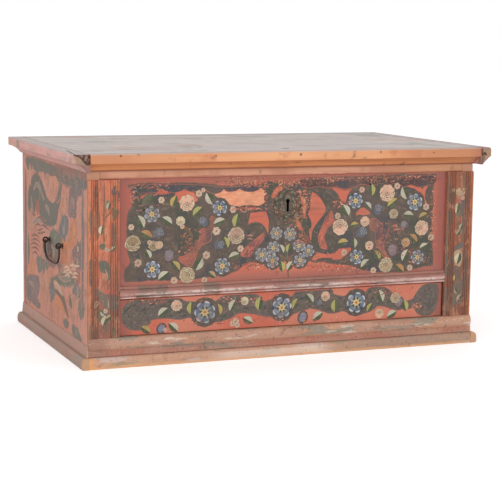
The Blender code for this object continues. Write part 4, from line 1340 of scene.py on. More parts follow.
CRISP_POCKETS = (
    ((250.3, 212.6, 1), (258.7, 211.6), (266.3, 211.2, 1), (267.9, 216.4), (269, 221.7), (268.6, 228.6),
     (269.2, 237.1, 1), (267.1, 232.5), (265.2, 227.9), (261.7, 224), (256.4, 222.1), (251.8, 222.9),
     (248, 224.8, 1), (248.7, 219.4)),
    ((312.2, 191.7, 1), (318, 195.3), (323, 201.8), (326, 209.5), (323.7, 214.9), (320.7, 218.7),
     (315.3, 225.6), (312.2, 232.5), (311.5, 240.1, 1), (309.9, 239.3), (308.8, 230.2), (311.1, 227.1),
     (310.7, 221), (308, 214.1), (310, 208), (310, 199.6)),
    ((216, 194.2), (219.8, 192.3), (223.7, 188.7, 1), (228.3, 190.8), (235, 190.4), (239.5, 188.5, 1),
     (244.1, 190), (251, 190.8), (257.1, 190), (260.6, 188.2, 1), (264, 190.8), (264, 202.6, 1),
     (258.7, 205.7), (248, 204.9), (236.5, 206.1), (228, 203.8), (222.1, 200.3), (217.6, 197.3)),
    ((406.5, 186.6, 1), (411.1, 185.1), (418.8, 187.3), (428.3, 185.5, 1), (425.7, 191.8), (425.3, 198.7),
     (427.2, 203.3), (424.5, 203.6), (421.1, 194.8), (414.9, 189.5)),
)
FEATHERY_POCKETS = (
    ((140.3, 197.3), (145.6, 193.8), (154.8, 193.4), (160.9, 189), (167, 191.1), (170.1, 193.8),
     (164, 194.2), (157.9, 195), (149.4, 197.3), (144.1, 199.6)),
    ((174.7, 193.4), (179.3, 191.1), (183.9, 189), (188.5, 191.1), (194.6, 192.3), (195.4, 195),
     (198.4, 198.8), (196.1, 201.9), (188, 202.6), (179.3, 202.6), (175.5, 200.3)),
    ((263.3, 233.2), (263.3, 238.6), (257.9, 245.5), (252.6, 250.8), (250.3, 256.2), (242.6, 256.2),
     (241.1, 253.1), (244.9, 248.5), (251, 243.2), (257.1, 238.6)),
    ((212.2, 216.4), (216.8, 217.9), (213.7, 224), (211.4, 230.2), (210.7, 240.1), (202.2, 244.7),
     (196.9, 253.1), (195.4, 257.7), (191.5, 266.1), (186.9, 265.4), (182.3, 263.1), (178.9, 257.7),
     (186.2, 255.4), (190.8, 249.3), (190.4, 241.6), (199.2, 240.1), (200.7, 230.2), (206.8, 227.9),
     (208.4, 222.5)),
    ((331.4, 210.3, 1), (332.9, 217.9), (335.2, 221), (330.6, 224.8), (326.8, 228.6), (324.5, 234.8),
     (324.5, 240.9), (326.8, 247.8), (323, 248.5), (319.9, 245.5), (318.7, 239.3), (319.1, 233.2),
     (322.2, 227.1), (325.2, 219.4), (328.3, 214.9)),
    ((331.5, 188.7), (334.6, 187.2), (339.2, 188), (345.3, 189.5), (352.2, 188.3), (349.9, 191.8),
     (348.4, 195.6), (348, 199.4), (344.5, 202.5), (339.9, 199.4), (336.9, 193.3)),
    ((311.5, 259.2), (316.8, 253.1), (320.7, 252.4), (326.8, 253.9), (334, 252.5), (339.2, 248.4),
     (345, 247.8), (351.4, 247.7), (348.4, 253.8), (343.8, 256.8), (340, 259.6), (334.5, 259.8),
     (330.6, 258.4), (324.5, 258.1), (319.9, 258.5), (315.3, 260.6)),
    ((370.6, 219.3), (375.9, 219.3), (382, 225.5), (385.5, 233.9), (385.9, 238.5), (383.2, 244.6),
     (385.1, 251.5), (391.2, 255.3), (390.5, 258), (383.6, 256.8), (379.7, 248.4), (375.9, 242.3),
     (375.2, 236.2), (375.9, 231.6), (371.3, 229.3), (369.8, 224.7)),
    ((356, 214), (359.1, 209.4), (362.9, 207.5), (368.3, 210.9), (369.4, 214), (364.4, 214.7)),
    ((270.9, 197.3), (272.5, 191.9), (277, 186.5), (282.4, 185.8), (281.6, 189.6), (277.8, 194.2),
     (274.7, 198.8)),
    ((298.5, 189.6), (301.5, 191.9), (301.5, 197.3), (304.6, 198.8), (306.1, 204.1), (305.4, 214.9),
     (303.1, 216.4), (302.3, 205.7), (300, 198.8)),
    ((296.2, 222.5), (300, 221.7), (303.8, 231.7), (299.2, 230.2), (296.9, 227.1)),
)
FIELD_SOFTNESS = 0.008
CRISP = 0.0022
FEATHERY = 0.006
LOCK_HOLE_SHARE = 0.85

field_art = Painting("painted_field_front", panel_board)
lock_hole_radius = (lock_high.x - lock_low.x) / 2 * LOCK_HOLE_SHARE
lock_hole = [Vector(around(lock_spot, lock_hole_radius, TAU * step / 32)) for step in range(32)]
field_loops = [field_art.placed(outline) for outline in (PANEL_FIELD, *CRISP_POCKETS, *FEATHERY_POCKETS)]
field_softness = [FIELD_SOFTNESS] + [CRISP] * len(CRISP_POCKETS) + [FEATHERY] * len(FEATHERY_POCKETS)
field_art.fill([*field_loops, lock_hole], [*field_softness, 0.0], DARK_SCROLL, 1)
print("Pockets left open in the field:", len(field_loops) - 1)

# %% [markdown]
# ## Shading inside the scrolls
# The dark paint was never even: greener, bluer and browner strokes follow the edge of the
# scroll beside them, and red hairs are dragged through the wet rim. Laying a few hundred thin
# strokes by hand would be slow, so each takes a random spot in the field and turns along the
# nearest piece of outline.

# %% Strokes in the field
FIELD_TINTS = (
    srgb(74, 82, 68), srgb(60, 63, 72), srgb(108, 87, 76), srgb(64, 72, 57), srgb(120, 102, 88),
    srgb(72, 60, 56),
)
FIELD_HATCH = 420
HATCH_STROKE = (0.02, 0.0055)
POCKET_TINTS = (
    srgb(168, 92, 74), srgb(196, 106, 84), srgb(140, 84, 72), srgb(212, 132, 104), srgb(110, 88, 74),
)
POCKET_HATCH = 90
POCKET_STROKE = (0.009, 0.0018)
SALMON_POCKET = 3
DULL_POCKETS = (7, 8, 9, 12)
DULL_RED = srgb(168, 94, 80)
SALMON_HATCH = 140
SALMON_STROKE = (0.016, 0.003)
LEVEL_SPREAD = 0.12
FIELD_SHADES = (
    (srgb(70, 68, 74), ((129, 187), (140, 185.4), (152, 184.8), (165, 185.4), (179, 184.6), (196, 185.2),
     (212, 186), (222, 187.4), (236, 187), (248, 185.6), (261, 186.6), (263.6, 190, 1), (260.6, 187.8),
     (257.1, 190.2), (251, 191.6), (244.1, 190.8), (239.5, 188.4, 1), (235, 190.8), (228.3, 191.4),
     (223.7, 188.8, 1), (219.8, 192.3), (214, 193.4), (207, 190.4), (203, 187, 1), (199, 190), (191, 191.4),
     (184.6, 188.6, 1), (179, 191.4), (172, 192.4), (166, 190.6), (161.4, 188, 1), (157, 191.6),
     (149, 192.6), (142, 193.2), (137, 197), (132.6, 199), (131.6, 192))),
    (srgb(84, 58, 56), ((300, 181), (308, 179.6), (345, 179), (405, 177), (434.4, 176), (433.4, 184),
     (428.3, 184.6), (419, 186.6), (411, 184.4), (404, 186.4), (396, 183), (388, 184.6), (380, 183),
     (371, 185.4), (362, 184), (353, 187), (345, 188.6), (336, 186.6), (327, 187.4), (318, 186),
     (309, 187.4), (302, 186))),
)
SALMON_TINTS = (srgb(232, 168, 130), srgb(228, 152, 116), srgb(214, 132, 104), srgb(234, 178, 146))
FLECK_TINTS = (srgb(224, 170, 142), srgb(206, 146, 116), srgb(120, 84, 70), srgb(96, 72, 66))
FLECKS = (
    (240, 181, 10, 2.2, 170), (263, 184, 3.5, 3, 50), (289, 182, 6, 2.2, 60), (132, 196, 2.0, 5, 26),
    (150, 186, 9, 1.4, 40), (400, 177, 18, 2, 110), (345, 179, 20, 1.6, 60), (433, 215, 1.6, 18, 60),
    (247, 208.6, 8, 0.9, 60), (254, 266, 9, 2.2, 80), (317, 266, 10, 2.2, 80), (345, 269, 10, 1.8, 60),
    (305, 205, 2, 9, 50), (300, 238, 4, 4, 50), (266.6, 200, 1.0, 9, 30), (190, 247, 6, 8, 60),
    (340, 203, 5, 2, 40), (380, 245, 3, 6, 40), (392, 228, 6, 3, 40), (404, 250, 14, 6, 50),
)
WORN_TINT = srgb(170, 128, 112)
COMB_TINT = srgb(160, 88, 76)
WORN_WIDTH = 0.0028
COMB_WIDTH = 0.0036
WORN_STROKES = (
    ((129, 188), (133, 187), (138, 190)), ((131, 193), (136, 191), (141, 195)),
    ((133, 199), (137, 197), (139, 201)), ((139, 206), (146, 204.5), (153, 203)),
    ((137, 210.5), (144, 210), (151, 208)), ((247.5, 235.5), (250, 235), (252.5, 235.8)),
    ((247.5, 239), (250, 238.6), (252.5, 239.4)), ((252, 209), (258, 208.4), (262, 209.6)),
    ((240, 210), (244, 212), (247, 211)), ((392, 226.5), (395, 225), (397.5, 227)),
    ((394, 229), (397, 229.5), (400, 228.6)),
)
RED_COMB = (
    ((214, 222), (209, 228), (204, 231)), ((215, 225), (210, 232), (203, 236)),
    ((213, 229), (208, 235), (200, 239)), ((205, 238), (198, 244), (194, 250)),
    ((202, 241), (196, 249), (190, 254)), ((196, 250), (190, 257), (184, 259)),
    ((195, 254), (191, 261), (187, 264)), ((260, 236), (254, 243), (248, 249)),
    ((261, 239), (256, 247), (250, 253)), ((299, 234), (302, 239), (308, 243)),
    ((298, 238), (303, 243), (310, 245)), ((304, 232), (307, 238), (311, 243)),
    ((377, 222), (381, 230), (383, 238)), ((380, 246), (384, 253), (389, 256)),
    ((376, 224), (379, 233), (380, 243)),
)


def near_turn(turn, spread):
    """Gives a function that turns a stroke near to one direction."""
    return lambda spot: chance.gauss(turn, spread)


def along_outline(loops):
    """Gives a function that tells how the nearest outline runs at a spot."""
    runs = []
    for loop in loops:
        runs += [(start, end - start) for start, end in list(zip(loop, loop[1:]))[::3]]

    def turn_at(spot):
        nearest = min(runs, key=lambda run: (run[0] - spot).length_squared)
        return math.atan2(nearest[1].y, nearest[1].x) + chance.uniform(-0.25, 0.25)

    return turn_at


for index in DULL_POCKETS:
    field_art.fill([field_loops[index]], [CRISP], DULL_RED, 2)
for tint, outline in FIELD_SHADES:
    field_art.fill_pixels((outline,), (CRISP,), tint, 3)
follow = along_outline(field_loops)
whole_field = [*field_loops, lock_hole]
field_art.hatch(whole_field, FIELD_HATCH, FIELD_TINTS, HATCH_STROKE, follow, 2, under=DARK_SCROLL)
for loop in field_loops[1 + len(CRISP_POCKETS)::2]:
    field_art.hatch([loop], POCKET_HATCH, POCKET_TINTS, POCKET_STROKE, along_outline([loop]), 3)
for row in FLECKS:
    field_art.flecks(FLECK_TINTS, *row)
for route in WORN_STROKES:
    field_art.line(route, WORN_WIDTH, vary(WORN_TINT), 3)
for route in RED_COMB:
    field_art.line(route, COMB_WIDTH, vary(COMB_TINT), 3)
field_art.done("chest", field_paint)

# %% [markdown]
# ## Two wreaths and a bouquet
# Every flower is a kind, a pixel and a size. The lists say what stands where, and one loop
# paints each kind in turn. A rose also needs the side that is combed, and a leaf its length,
# its turn and the colour of its lit half.

# %% Flowers of the front panel
SCROLL_GREEN = srgb(84, 92, 72)
OLIVE = srgb(148, 126, 94)
UP = math.pi / 2
UP_RIGHT = math.pi / 4
UP_LEFT = math.pi * 0.75
BIG_BLUE = (
    (151.9, 214.3, 8.2, 0.35), (219.7, 207.9, 7.8, 0.0), (152.2, 269.4, 8.5, 0.1), (222.2, 266, 8.2, 0.2),
    (355.6, 200.8, 7.8, 0.0), (414.8, 202, 8.4, 0.1), (356.4, 256.8, 7.4, 0.0), (417.2, 257.2, 7.2, 0.25),
    (276.3, 233.2, 6.6, 0.6), (290, 234, 6.8, 0.6), (273.2, 247.8, 6.8, 0.4), (298.8, 245.8, 6.4, 0.3),
    (308.4, 250.8, 6.2, 0.2), (261.7, 254.7, 7.2, 0.4), (272.4, 260.8, 7.0, 0.3), (300, 260, 6.8, 0.3),
)
ROSES = (
    (187, 202.7, 8.5, DOWN, ROSE_PINK), (132.8, 243.2, 8.5, DOWN, OLIVE),
    (236.3, 235.3, 9.0, DOWN, srgb(178, 144, 124)), (186.9, 275.2, 8.6, UP_RIGHT, BEIGE),
    (387.2, 192.8, 8.8, DOWN, ROSE_PINK), (340, 227.2, 8.5, UP, ROSE_PINK),
    (421.6, 228, 7.8, UP_LEFT, ROSE_PINK), (385.6, 265.2, 7.8, UP, BEIGE), (180.5, 221, 5.0, DOWN, CREAM),
    (153.6, 246, 5.4, UP, OLIVE), (159, 245, 4.2, 0, ROSE_PINK), (364.8, 221.2, 5.2, DOWN, ROSE_PINK),
    (393.6, 213.6, 5.1, DOWN, BEIGE), (369.2, 245.6, 4.8, UP, ROSE_PINK), (405.6, 242.4, 4.8, UP, OCHRE),
)
SMALL_FLOWERS = (
    (161.3, 200, 3.6), (198.8, 193.6, 3.8), (131.1, 227.2, 3.4), (137.9, 263, 4.2), (174, 280.6, 4.0),
    (204.3, 280, 3.4), (206.3, 255.1, 4.3), (233, 209.6, 3.8), (216.4, 231, 4.5), (240.5, 248.5, 3.6),
    (182.2, 226.6, 2.6), (149.5, 242.5, 2.8), (203.3, 190.2, 2.4), (362, 189.6, 3.3), (397.2, 186, 3.6),
    (426, 206.8, 3.8), (337.6, 216, 3.5), (430.8, 237.2, 3.6), (344, 252.4, 3.5), (409.6, 267.6, 3.4),
    (373.2, 270.4, 3.5),
)
BUD_BLUE = srgb(92, 96, 106)
BUD_LILAC = srgb(128, 110, 114)
BUDS = (
    (158.4, 232.7, 6.0, 0.4, BUD_BLUE), (168.9, 255.5, 5.8, 1.4, BUD_LILAC),
    (203.3, 221.5, 5.4, 2.4, BUD_BLUE), (219, 244.6, 5.4, 0.0, BUD_BLUE), (378, 209.6, 5.6, 1.4, BUD_BLUE),
    (361.6, 232, 6.2, 0.5, BUD_BLUE), (403.6, 224.8, 4.2, 1.2, BUD_LILAC),
    (392.4, 250, 5.8, 1.6, BUD_LILAC),
)
LEAVES = (
    (147.8, 199, 15, 0.62, SCROLL_GREEN), (173.3, 201, 11.5, 1.2, YELLOW), (209, 199, 13, 2.09, WHITE),
    (197.1, 210.9, 12.5, 0.71, LIME), (141.5, 221.1, 13, -1.09, WHITE), (167.5, 220, 12, -0.6, WHITE),
    (146.8, 234, 13, -0.48, OCHRE), (148.8, 253.8, 9.5, -1.09, WHITE), (176.4, 265.3, 11.5, -0.91, YELLOW),
    (162.8, 275.2, 12.5, 0.62, WHITE), (199.5, 264.3, 13.4, -2.1, WHITE), (219, 221, 12, 0.35, WHITE),
    (233.8, 255, 11, 0.3, WHITE), (235.7, 220.3, 13, 1.35, LIME), (226.4, 241.9, 11, -1.2, LIME),
    (212.3, 274, 9, -0.7, BEIGE), (372.3, 189.4, 11.5, -1.5, LIME), (404, 193.4, 12.6, 1.96, WHITE),
    (392, 202, 12.3, 0.62, YELLOW), (368.4, 205.2, 9.3, -0.81, WHITE), (346.5, 209.8, 12.6, -1.04, WHITE),
    (408.4, 214, 10.8, -0.1, WHITE), (422.8, 215.2, 10, 0.4, YELLOW), (354.4, 224, 8, 0.1, YELLOW),
    (342.8, 241.6, 11, 0.1, YELLOW), (354.8, 242.8, 9.2, -1.5, WHITE), (413.6, 237.6, 11, -0.74, OCHRE),
    (423.2, 245.6, 9, 0.46, WHITE), (364.4, 263.2, 11.6, 0.76, WHITE), (377.6, 254.8, 11, -1.04, LIME),
    (404.4, 254.8, 12, 1.09, WHITE), (400, 267.6, 11.6, -0.71, OCHRE), (282, 248.5, 9, -1.1, WHITE),
    (288.1, 247.8, 9, 1.3, LIME), (282.4, 266.1, 10, -1.4, LIME), (289.3, 265.4, 10, 1.0, WHITE),
)
STEM_WIDTH = 0.0042
STEMS = (
    ((286, 240), (286.5, 252), (287, 262), (288.4, 277)), ((277, 255), (283, 258), (287, 262)),
    ((298, 252), (292, 257), (287, 262)), ((264, 258), (276, 262), (286, 266)),
    ((309, 254), (298, 262), (288, 268)), ((158, 279), (163, 275.5), (168, 272)),
    ((182, 226), (188, 230), (192, 236)), ((344, 262), (350, 259), (356, 262)),
)


def plant(art, motif, spots):
    """Paints a motif at each pixel of a list, with its size in pixels too."""
    for across, down, size, *more in spots:
        motif(art, art.board.at_pixel(across, down), size * art.board.pixel_size(across, down), *more)


def paint_flowers(art, *lists):
    """Leaves lie lowest, then the big flowers, then the buds and the buttons."""
    for motif, spots in zip((leaf, blue_flower, rose, bud, small_flower), lists):
        plant(art, motif, spots)


flower_art = Painting("painted_flowers_front", panel_board)
salmon_loop = field_loops[SALMON_POCKET]
flower_art.fill([salmon_loop], [CRISP], SALMON_TINTS[1], 1)
level = near_turn(0, LEVEL_SPREAD)
flower_art.hatch([salmon_loop], SALMON_HATCH, SALMON_TINTS, SALMON_STROKE, level, 2, 0.7, SALMON_TINTS[1])
for route in STEMS:
    flower_art.line(route, STEM_WIDTH, LEAF_GREEN, 3)
paint_flowers(flower_art, LEAVES, BIG_BLUE, ROSES, BUDS, SMALL_FLOWERS)
flower_art.done("chest", front_stroke_paint)

# %% [markdown]
# ## The band on the drawer
# The drawer's front has no pull, only a wavy dark garland between two round ends. It rides
# on the drawer, so it has to be a piece of its own.

# %% The drawer's garland
BAND_FIELD = (
    (121.8, 318.4), (122.6, 310), (126.4, 304), (131.1, 300.4), (151.8, 299.3), (167.9, 298.9),
    (179.3, 298.6), (184, 300.8), (192, 302.2), (204, 301.5), (214, 302), (219, 299), (223, 296.4),
    (240, 294.6), (255.7, 294.5), (259.5, 297), (262.6, 302.2), (270, 300), (280, 298.2), (290.9, 297),
    (295.5, 292.8), (302, 291.6), (318, 290.4), (331.4, 289.8), (333, 294), (339, 295.8), (346, 296.2),
    (357, 291.4), (365.2, 293), (368.3, 289.1), (373, 287.2), (383.6, 287.2), (388.9, 289.9),
    (393.5, 295.3), (398.1, 300.6), (402.7, 302.5), (408.8, 300.6), (413.4, 298.3), (416.5, 293),
    (421.8, 286.5), (428.7, 283.4), (437.1, 284.5), (438.1, 293), (437.1, 302.1), (433.3, 311.3),
    (428, 315.2), (421.8, 315.3), (416.5, 311.7), (413.8, 306.7), (409.6, 308.6), (403.5, 308.3),
    (397.3, 309.8), (391.2, 308.3), (383.6, 306), (377.4, 306), (369.8, 311.3), (356, 314), (343.8, 310.8),
    (336.9, 312.4), (329.1, 312.9), (321.5, 310.6), (312.3, 308.3), (304.7, 309.8), (295.5, 312.9),
    (289.3, 315), (281.7, 318.6), (271.7, 316.4), (264.9, 316), (255.7, 314), (246, 312.9), (238, 313.4),
    (229.7, 318.3), (222, 320.8), (213, 322), (203.8, 323.8), (194, 319.4), (188.5, 317.2), (179.3, 319.2),
    (165.6, 318.1), (151.8, 319.6), (150.3, 322.3), (145.7, 326.9), (141.1, 329.6), (135, 329.9),
    (128.8, 328.4), (124.2, 324.6),
)
BAND_TINT = srgb(98, 88, 81)
BAND_HATCH = 260
BAND_LOBES = ((135.7, 317, 12.6), (426, 300, 11.5))
BAND_BLUE = ((204.8, 312.2, 11.2, 0.0), (281.7, 307.4, 10.6, 0.1), (356.1, 302.4, 10.4, 0.0))
BAND_ROSES = (
    (176.6, 305.4, 5.8, DOWN, ROSE_PINK), (325.4, 296, 5.0, DOWN, ROSE_PINK),
    (395.2, 297.6, 5.6, DOWN, BEIGE), (244.6, 300.8, 4.4, DOWN, CREAM), (379.3, 313.4, 5.0, UP, ROSE_PINK),
)
BAND_SMALL = ((235.5, 321.4, 4.0), (232.4, 323.4, 3.2), (237, 325, 3.0), (165, 330, 2.2))
BAND_PALE = srgb(122, 126, 146)
BAND_BUDS = (
    (398.6, 302.2, 4.6, 1.0, BUD_LILAC), (161.4, 328.4, 4.2, 0.9, BAND_PALE),
    (302.6, 317.2, 4.8, 1.2, BAND_PALE), (319, 303, 3.8, 0.6, BUD_BLUE),
)
BAND_LEAVES = (
    (162.4, 311.6, 12, 0.65, WHITE), (232, 304.9, 12, 1.1, WHITE), (310.3, 297.6, 11, -0.9, WHITE),
    (381.2, 295.4, 12, -1.2, WHITE), (174, 326.6, 12, -0.75, WHITE), (248.2, 319.4, 11, -0.5, WHITE),
    (317.0, 315.4, 12, 0.55, WHITE), (391.2, 313.4, 11, 0.45, WHITE), (190.2, 307.8, 12, 1.5, LIME),
    (219.4, 309, 11, -1.35, YELLOW), (258.6, 303, 13, 1.4, LIME), (294.6, 303.4, 11, 1.1, LIME),
    (334.2, 305.6, 12, 1.55, LIME), (369.2, 307, 9, 1.0, LIME), (405.4, 305, 11, -1.3, LIME),
    (146, 329, 11, -0.6, YELLOW),
)
BAND_FLECKS = (
    (150, 301, 14, 1.6, 40), (392, 293, 8, 3, 40), (417, 306, 3, 2, 30), (300, 321, 70, 2, 120),
    (240, 299, 30, 2, 50),
)
WHIRL_RINGS = 3
WHIRL_STROKES = 18


def whirl(art, centre, radius):
    """The round end of the garland, with strokes in rings."""
    for ring in range(WHIRL_RINGS):
        for stroke in range(WHIRL_STROKES):
            angle = TAU * stroke / WHIRL_STROKES + ring * 0.2
            place = around(centre, radius * (0.8 - 0.24 * ring), angle)
            size = (radius * 0.2, radius * 0.07)
            art.glaze(place, size, angle + math.pi / 2, chance.choice(FIELD_TINTS), 3, under=BAND_TINT)


band_art = Painting("painted_garland_drawer", drawer_board)
band_loop = band_art.placed(BAND_FIELD)
band_art.fill([band_loop], [FEATHERY], BAND_TINT, 1)
follow = along_outline([band_loop])
band_art.hatch([band_loop], BAND_HATCH, FIELD_TINTS, HATCH_STROKE, follow, 2, under=BAND_TINT)
plant(band_art, whirl, BAND_LOBES)
for row in BAND_FLECKS:
    band_art.flecks(FLECK_TINTS, *row)
paint_flowers(band_art, BAND_LEAVES, BAND_BLUE, BAND_ROSES, BAND_BUDS, BAND_SMALL)
band_art.done("drawer", front_stroke_paint)

# %% [markdown]
# ## The sides
# The sides were painted with fewer and larger strokes: a scalloped valance under the lid, a
# tall leaf, scrolls and drops. The camera sees the left one at a slant. The right one is
# hidden, and a chest like this is painted alike on both, so the same strokes are laid on it
# as in a mirror.

# %% Scrolls of the sides
GREY = srgb(126, 118, 106)
GREY_GREEN = srgb(118, 118, 100)
MAUVE = srgb(134, 112, 110)
BLUE_GREY = srgb(116, 116, 114)
SALMON = srgb(206, 142, 118)
SIDE_ORANGE = srgb(212, 136, 96)
SIDE_RED = srgb(176, 100, 84)
FEATHER_BROWN = srgb(134, 98, 84)
COMB_CREAM = srgb(216, 184, 158)
LIGHT_TINT = srgb(150, 138, 124)
LIGHT_WIDTH = 0.012
FEATHER_WIDTH = 0.0055
CREAM_WIDTH = 0.005
SIDE_SOFTNESS = 0.016
SIDE_SHAPES = (
    (srgb(164, 120, 107), ((54, 165.6), (71.1, 170), (86.1, 175), (86.4, 181.4), (71, 178), (60, 171.6))),
    (GREY, ((26.5, 158), (40.1, 161), (53.9, 166.5), (62, 171.4), (71.1, 177), (86.1, 180.6),
     (86.6, 187.6, 1), (76.9, 188.8), (71.7, 184.7), (67.7, 186.4), (64.8, 183), (62, 184.6), (59.7, 180.3),
     (57.4, 181.1), (55.1, 176.3), (50.5, 177.1), (47.6, 173.4), (44.7, 174.8), (42.4, 171.1), (40.1, 172),
     (36.7, 172.5), (35, 168.4), (31, 170.2), (28.1, 168.7))),
    (srgb(112, 106, 95), ((29, 210), (28.6, 193.9), (30.4, 183.6), (32.8, 176.7), (36.1, 173.8),
     (39, 176.1), (41.9, 182.4), (44.2, 189.3), (46.5, 196.8), (48.8, 201.4), (52.2, 202.5), (55.1, 200.8),
     (56.8, 195.1), (58.5, 188.2), (59.7, 183.6), (62, 184.5), (62, 190), (61.4, 197), (59.7, 203.5),
     (58.5, 209), (57.2, 217), (55.8, 222.6), (51.6, 225.4), (48.2, 225), (43.6, 222.6), (40.1, 216),
     (39.6, 208), (38, 200.5), (36.6, 200), (35.6, 207), (34.3, 212.5), (31.8, 213))),
    (srgb(118, 112, 106), ((72.9, 180), (79, 180.6), (86.6, 182), (86.6, 188), (79, 188), (72.9, 187.4))),
    (MAUVE, ((70, 190.5), (72.9, 188.2), (80.3, 188.2), (82.1, 192.8), (78.6, 197.4), (76.3, 202),
     (76.6, 215.7), (71.7, 216.4), (68.3, 213.4), (68.9, 202.5))),
    (BLUE_GREY, ((63.7, 216.3), (67.7, 218.6), (68.3, 225.5), (67.7, 232.4), (64.6, 237.4), (60.6, 234.4),
     (59.1, 229.5), (60.8, 223.2))),
    (GREY_GREEN, ((53.9, 230.1), (58, 234), (61.5, 238), (63.7, 244.5), (60, 246), (58.5, 252), (57, 262),
     (53, 266), (48, 263), (45.5, 256), (44.8, 248), (46.5, 243), (50.5, 240), (50, 235))),
    (srgb(100, 72, 62), ((43.4, 243), (47, 241), (51.4, 243.4), (53, 248), (52.4, 254), (49, 257.4),
     (45.4, 255), (43.6, 249))),
    (srgb(156, 112, 100), ((46.4, 255.6), (50, 257.6), (54, 254.6), (56.4, 258), (54.4, 264), (50, 265),
     (47, 260.6))),
    (GREY, ((36.7, 258.4), (40.1, 257.3), (43.6, 260.7), (47.6, 262.4), (48.2, 267), (45.9, 270.5),
     (42.4, 272.2), (39, 271.6), (37.8, 267))),
    (MAUVE, ((27, 277.4), (33.3, 275.6), (37.8, 276.8), (39.9, 280), (39.6, 288), (37, 296), (32, 300.6),
     (27.6, 297), (26.6, 287))),
    (GREY_GREEN, ((50.8, 279.7), (56.8, 276.8), (62.5, 273.9), (68.9, 276.2), (73.4, 276.8), (74, 281.4),
     (71.1, 284.3), (65.4, 284.8), (59.7, 283.7), (53.9, 281.4))),
    (BLUE_GREY, ((50.5, 283.1), (49.3, 287.7), (51.6, 287.7), (49.9, 292.9), (51.6, 294.6), (50.5, 298.6),
     (51.6, 301.5), (53.9, 295.7), (56.8, 293.4), (57.4, 290.6), (53.9, 288.9), (53.4, 284.3))),
    (BLUE_GREY, ((76.3, 283.7), (79.2, 287.7), (80.3, 292.9), (78.6, 296.3), (74.6, 296.3), (72.9, 292.9),
     (74, 287.1))),
    (srgb(134, 110, 108), ((73, 246), (76, 243.8), (82.4, 244.6), (83, 256), (82.8, 267), (78, 268),
     (74.5, 262), (72.4, 254))),
    (GREY, ((63.9, 321.5), (66.2, 320.4), (68.5, 322.8), (67.4, 326.8), (64.8, 326))),
    (GREY, ((72.3, 327), (75, 326.6), (79, 333), (81.6, 341), (80.8, 343.6), (77, 338), (73.4, 333))),
    (GREY, ((79, 303), (83, 301), (84.3, 309), (82, 318), (79.6, 314), (78.2, 309))),
    (MAUVE, ((32.7, 300), (38, 301.4), (40.4, 306.4), (36, 305.4))),
    (SALMON, ((28.7, 169.2), (34.4, 170), (32, 177), (28.1, 184.7))),
    (SIDE_RED, ((37.3, 200.2), (39.4, 205), (39.6, 210.6), (37.4, 212), (36.1, 208))),
    (SALMON, ((39.6, 174.6), (43, 178), (46, 187), (49, 196), (53.9, 200.6), (56.4, 193), (57.6, 185),
     (56.2, 178.8), (50, 178), (45, 176))),
    (SIDE_ORANGE, ((71, 224), (76, 222), (80.3, 226), (80, 236), (74, 238.5), (70, 234))),
    (SALMON, ((29, 213.4), (33, 213), (35.6, 217), (35, 225), (31, 228), (28.7, 223))),
    (SIDE_ORANGE, ((32, 260), (34.4, 264), (33.6, 270), (31.6, 272), (30.4, 267))),
    (SIDE_ORANGE, ((62.6, 241), (70, 239), (76, 241.6), (73, 246), (68.3, 249), (68, 258), (65, 263.4),
     (62.6, 260), (62, 250))),
    (SIDE_RED, ((75, 272), (79, 271.6), (80.3, 277), (79, 282.6), (75.6, 282), (74.6, 277))),
    (SALMON, ((41, 274), (47, 272.4), (49.3, 279), (48.4, 290), (47.6, 300), (45, 305), (41.5, 302),
     (40.4, 290))),
    (SALMON, ((71, 298.4), (75, 297.6), (78, 302), (77, 309), (73, 311.6), (70.8, 305))),
    (SALMON, ((65, 196), (68, 200), (67, 210), (64, 214), (62.6, 206))),
)
SIDE_LINES = (
    (((25.6, 172), (25.8, 200), (26, 235), (25.8, 270), (25.8, 300)), 0.022, srgb(128, 108, 106)),
    (((83, 193), (82.6, 215), (83, 240), (82.8, 275), (82.6, 303)), 0.02, srgb(126, 112, 104)),
    (((55.6, 291), (60.8, 295.7), (63.7, 301.5), (66, 308.4), (68.3, 316.5)), 0.024, srgb(126, 100, 86)),
    (((69.6, 297), (70.4, 302), (71.6, 307)), 0.022, srgb(120, 104, 98)),
    (((57, 263), (60, 268), (59, 276)), 0.024, srgb(146, 120, 110)),
    (((61.8, 184.4), (60, 192), (57, 201.6)), 0.02, srgb(112, 108, 96)),
    (((63.6, 187), (62.6, 200), (60.6, 212), (58.4, 223)), 0.022, SALMON),
    (((79.6, 200), (79.2, 212), (79.2, 225), (79, 238)), 0.034, srgb(204, 144, 124)),
    (((28.6, 236), (28.9, 248), (28.6, 262)), 0.022, srgb(124, 124, 104)),
    (((54.6, 282.4), (58.6, 288), (62.6, 294.6)), 0.018, srgb(204, 168, 142)),
    (((56, 296), (59, 300.6), (62, 306), (64.6, 312.4)), 0.02, SIDE_ORANGE),
)
SIDE_LIGHT_STROKES = (
    ((34, 189), (36, 184.5), (39.5, 186), (42, 194), (44, 199)), ((31.5, 198), (32, 205), (33, 210)),
    ((45.5, 206), (48, 209), (49.5, 214)), ((63, 226), (63.6, 230), (64, 234)),
    ((77.6, 288), (78.4, 292), (78, 295)), ((33, 223), (37, 220), (41, 222)),
    ((72, 199), (74, 203), (73.6, 208)), ((52, 246), (54, 252), (53, 259)),
    ((60, 278), (65, 279), (70, 279)), ((30, 282), (34, 286), (33, 292)),
)
SIDE_COMB = (
    ((31.5, 236), (35, 234.5), (39, 237)), ((31.5, 240), (35.5, 239), (39.5, 242)),
    ((31, 244), (35, 243), (39, 246)), ((32, 248), (36, 247.4), (39, 251)),
    ((31.5, 212), (34, 215), (36, 214)), ((37, 218), (41, 217), (43, 220)),
    ((35, 226), (38, 224), (41, 226)), ((49, 230), (45, 226), (42, 225)), ((33, 253), (36, 252), (38, 255)),
    ((43, 228), (40, 230), (37, 230)), ((45, 232), (41, 233), (38, 233)),
)
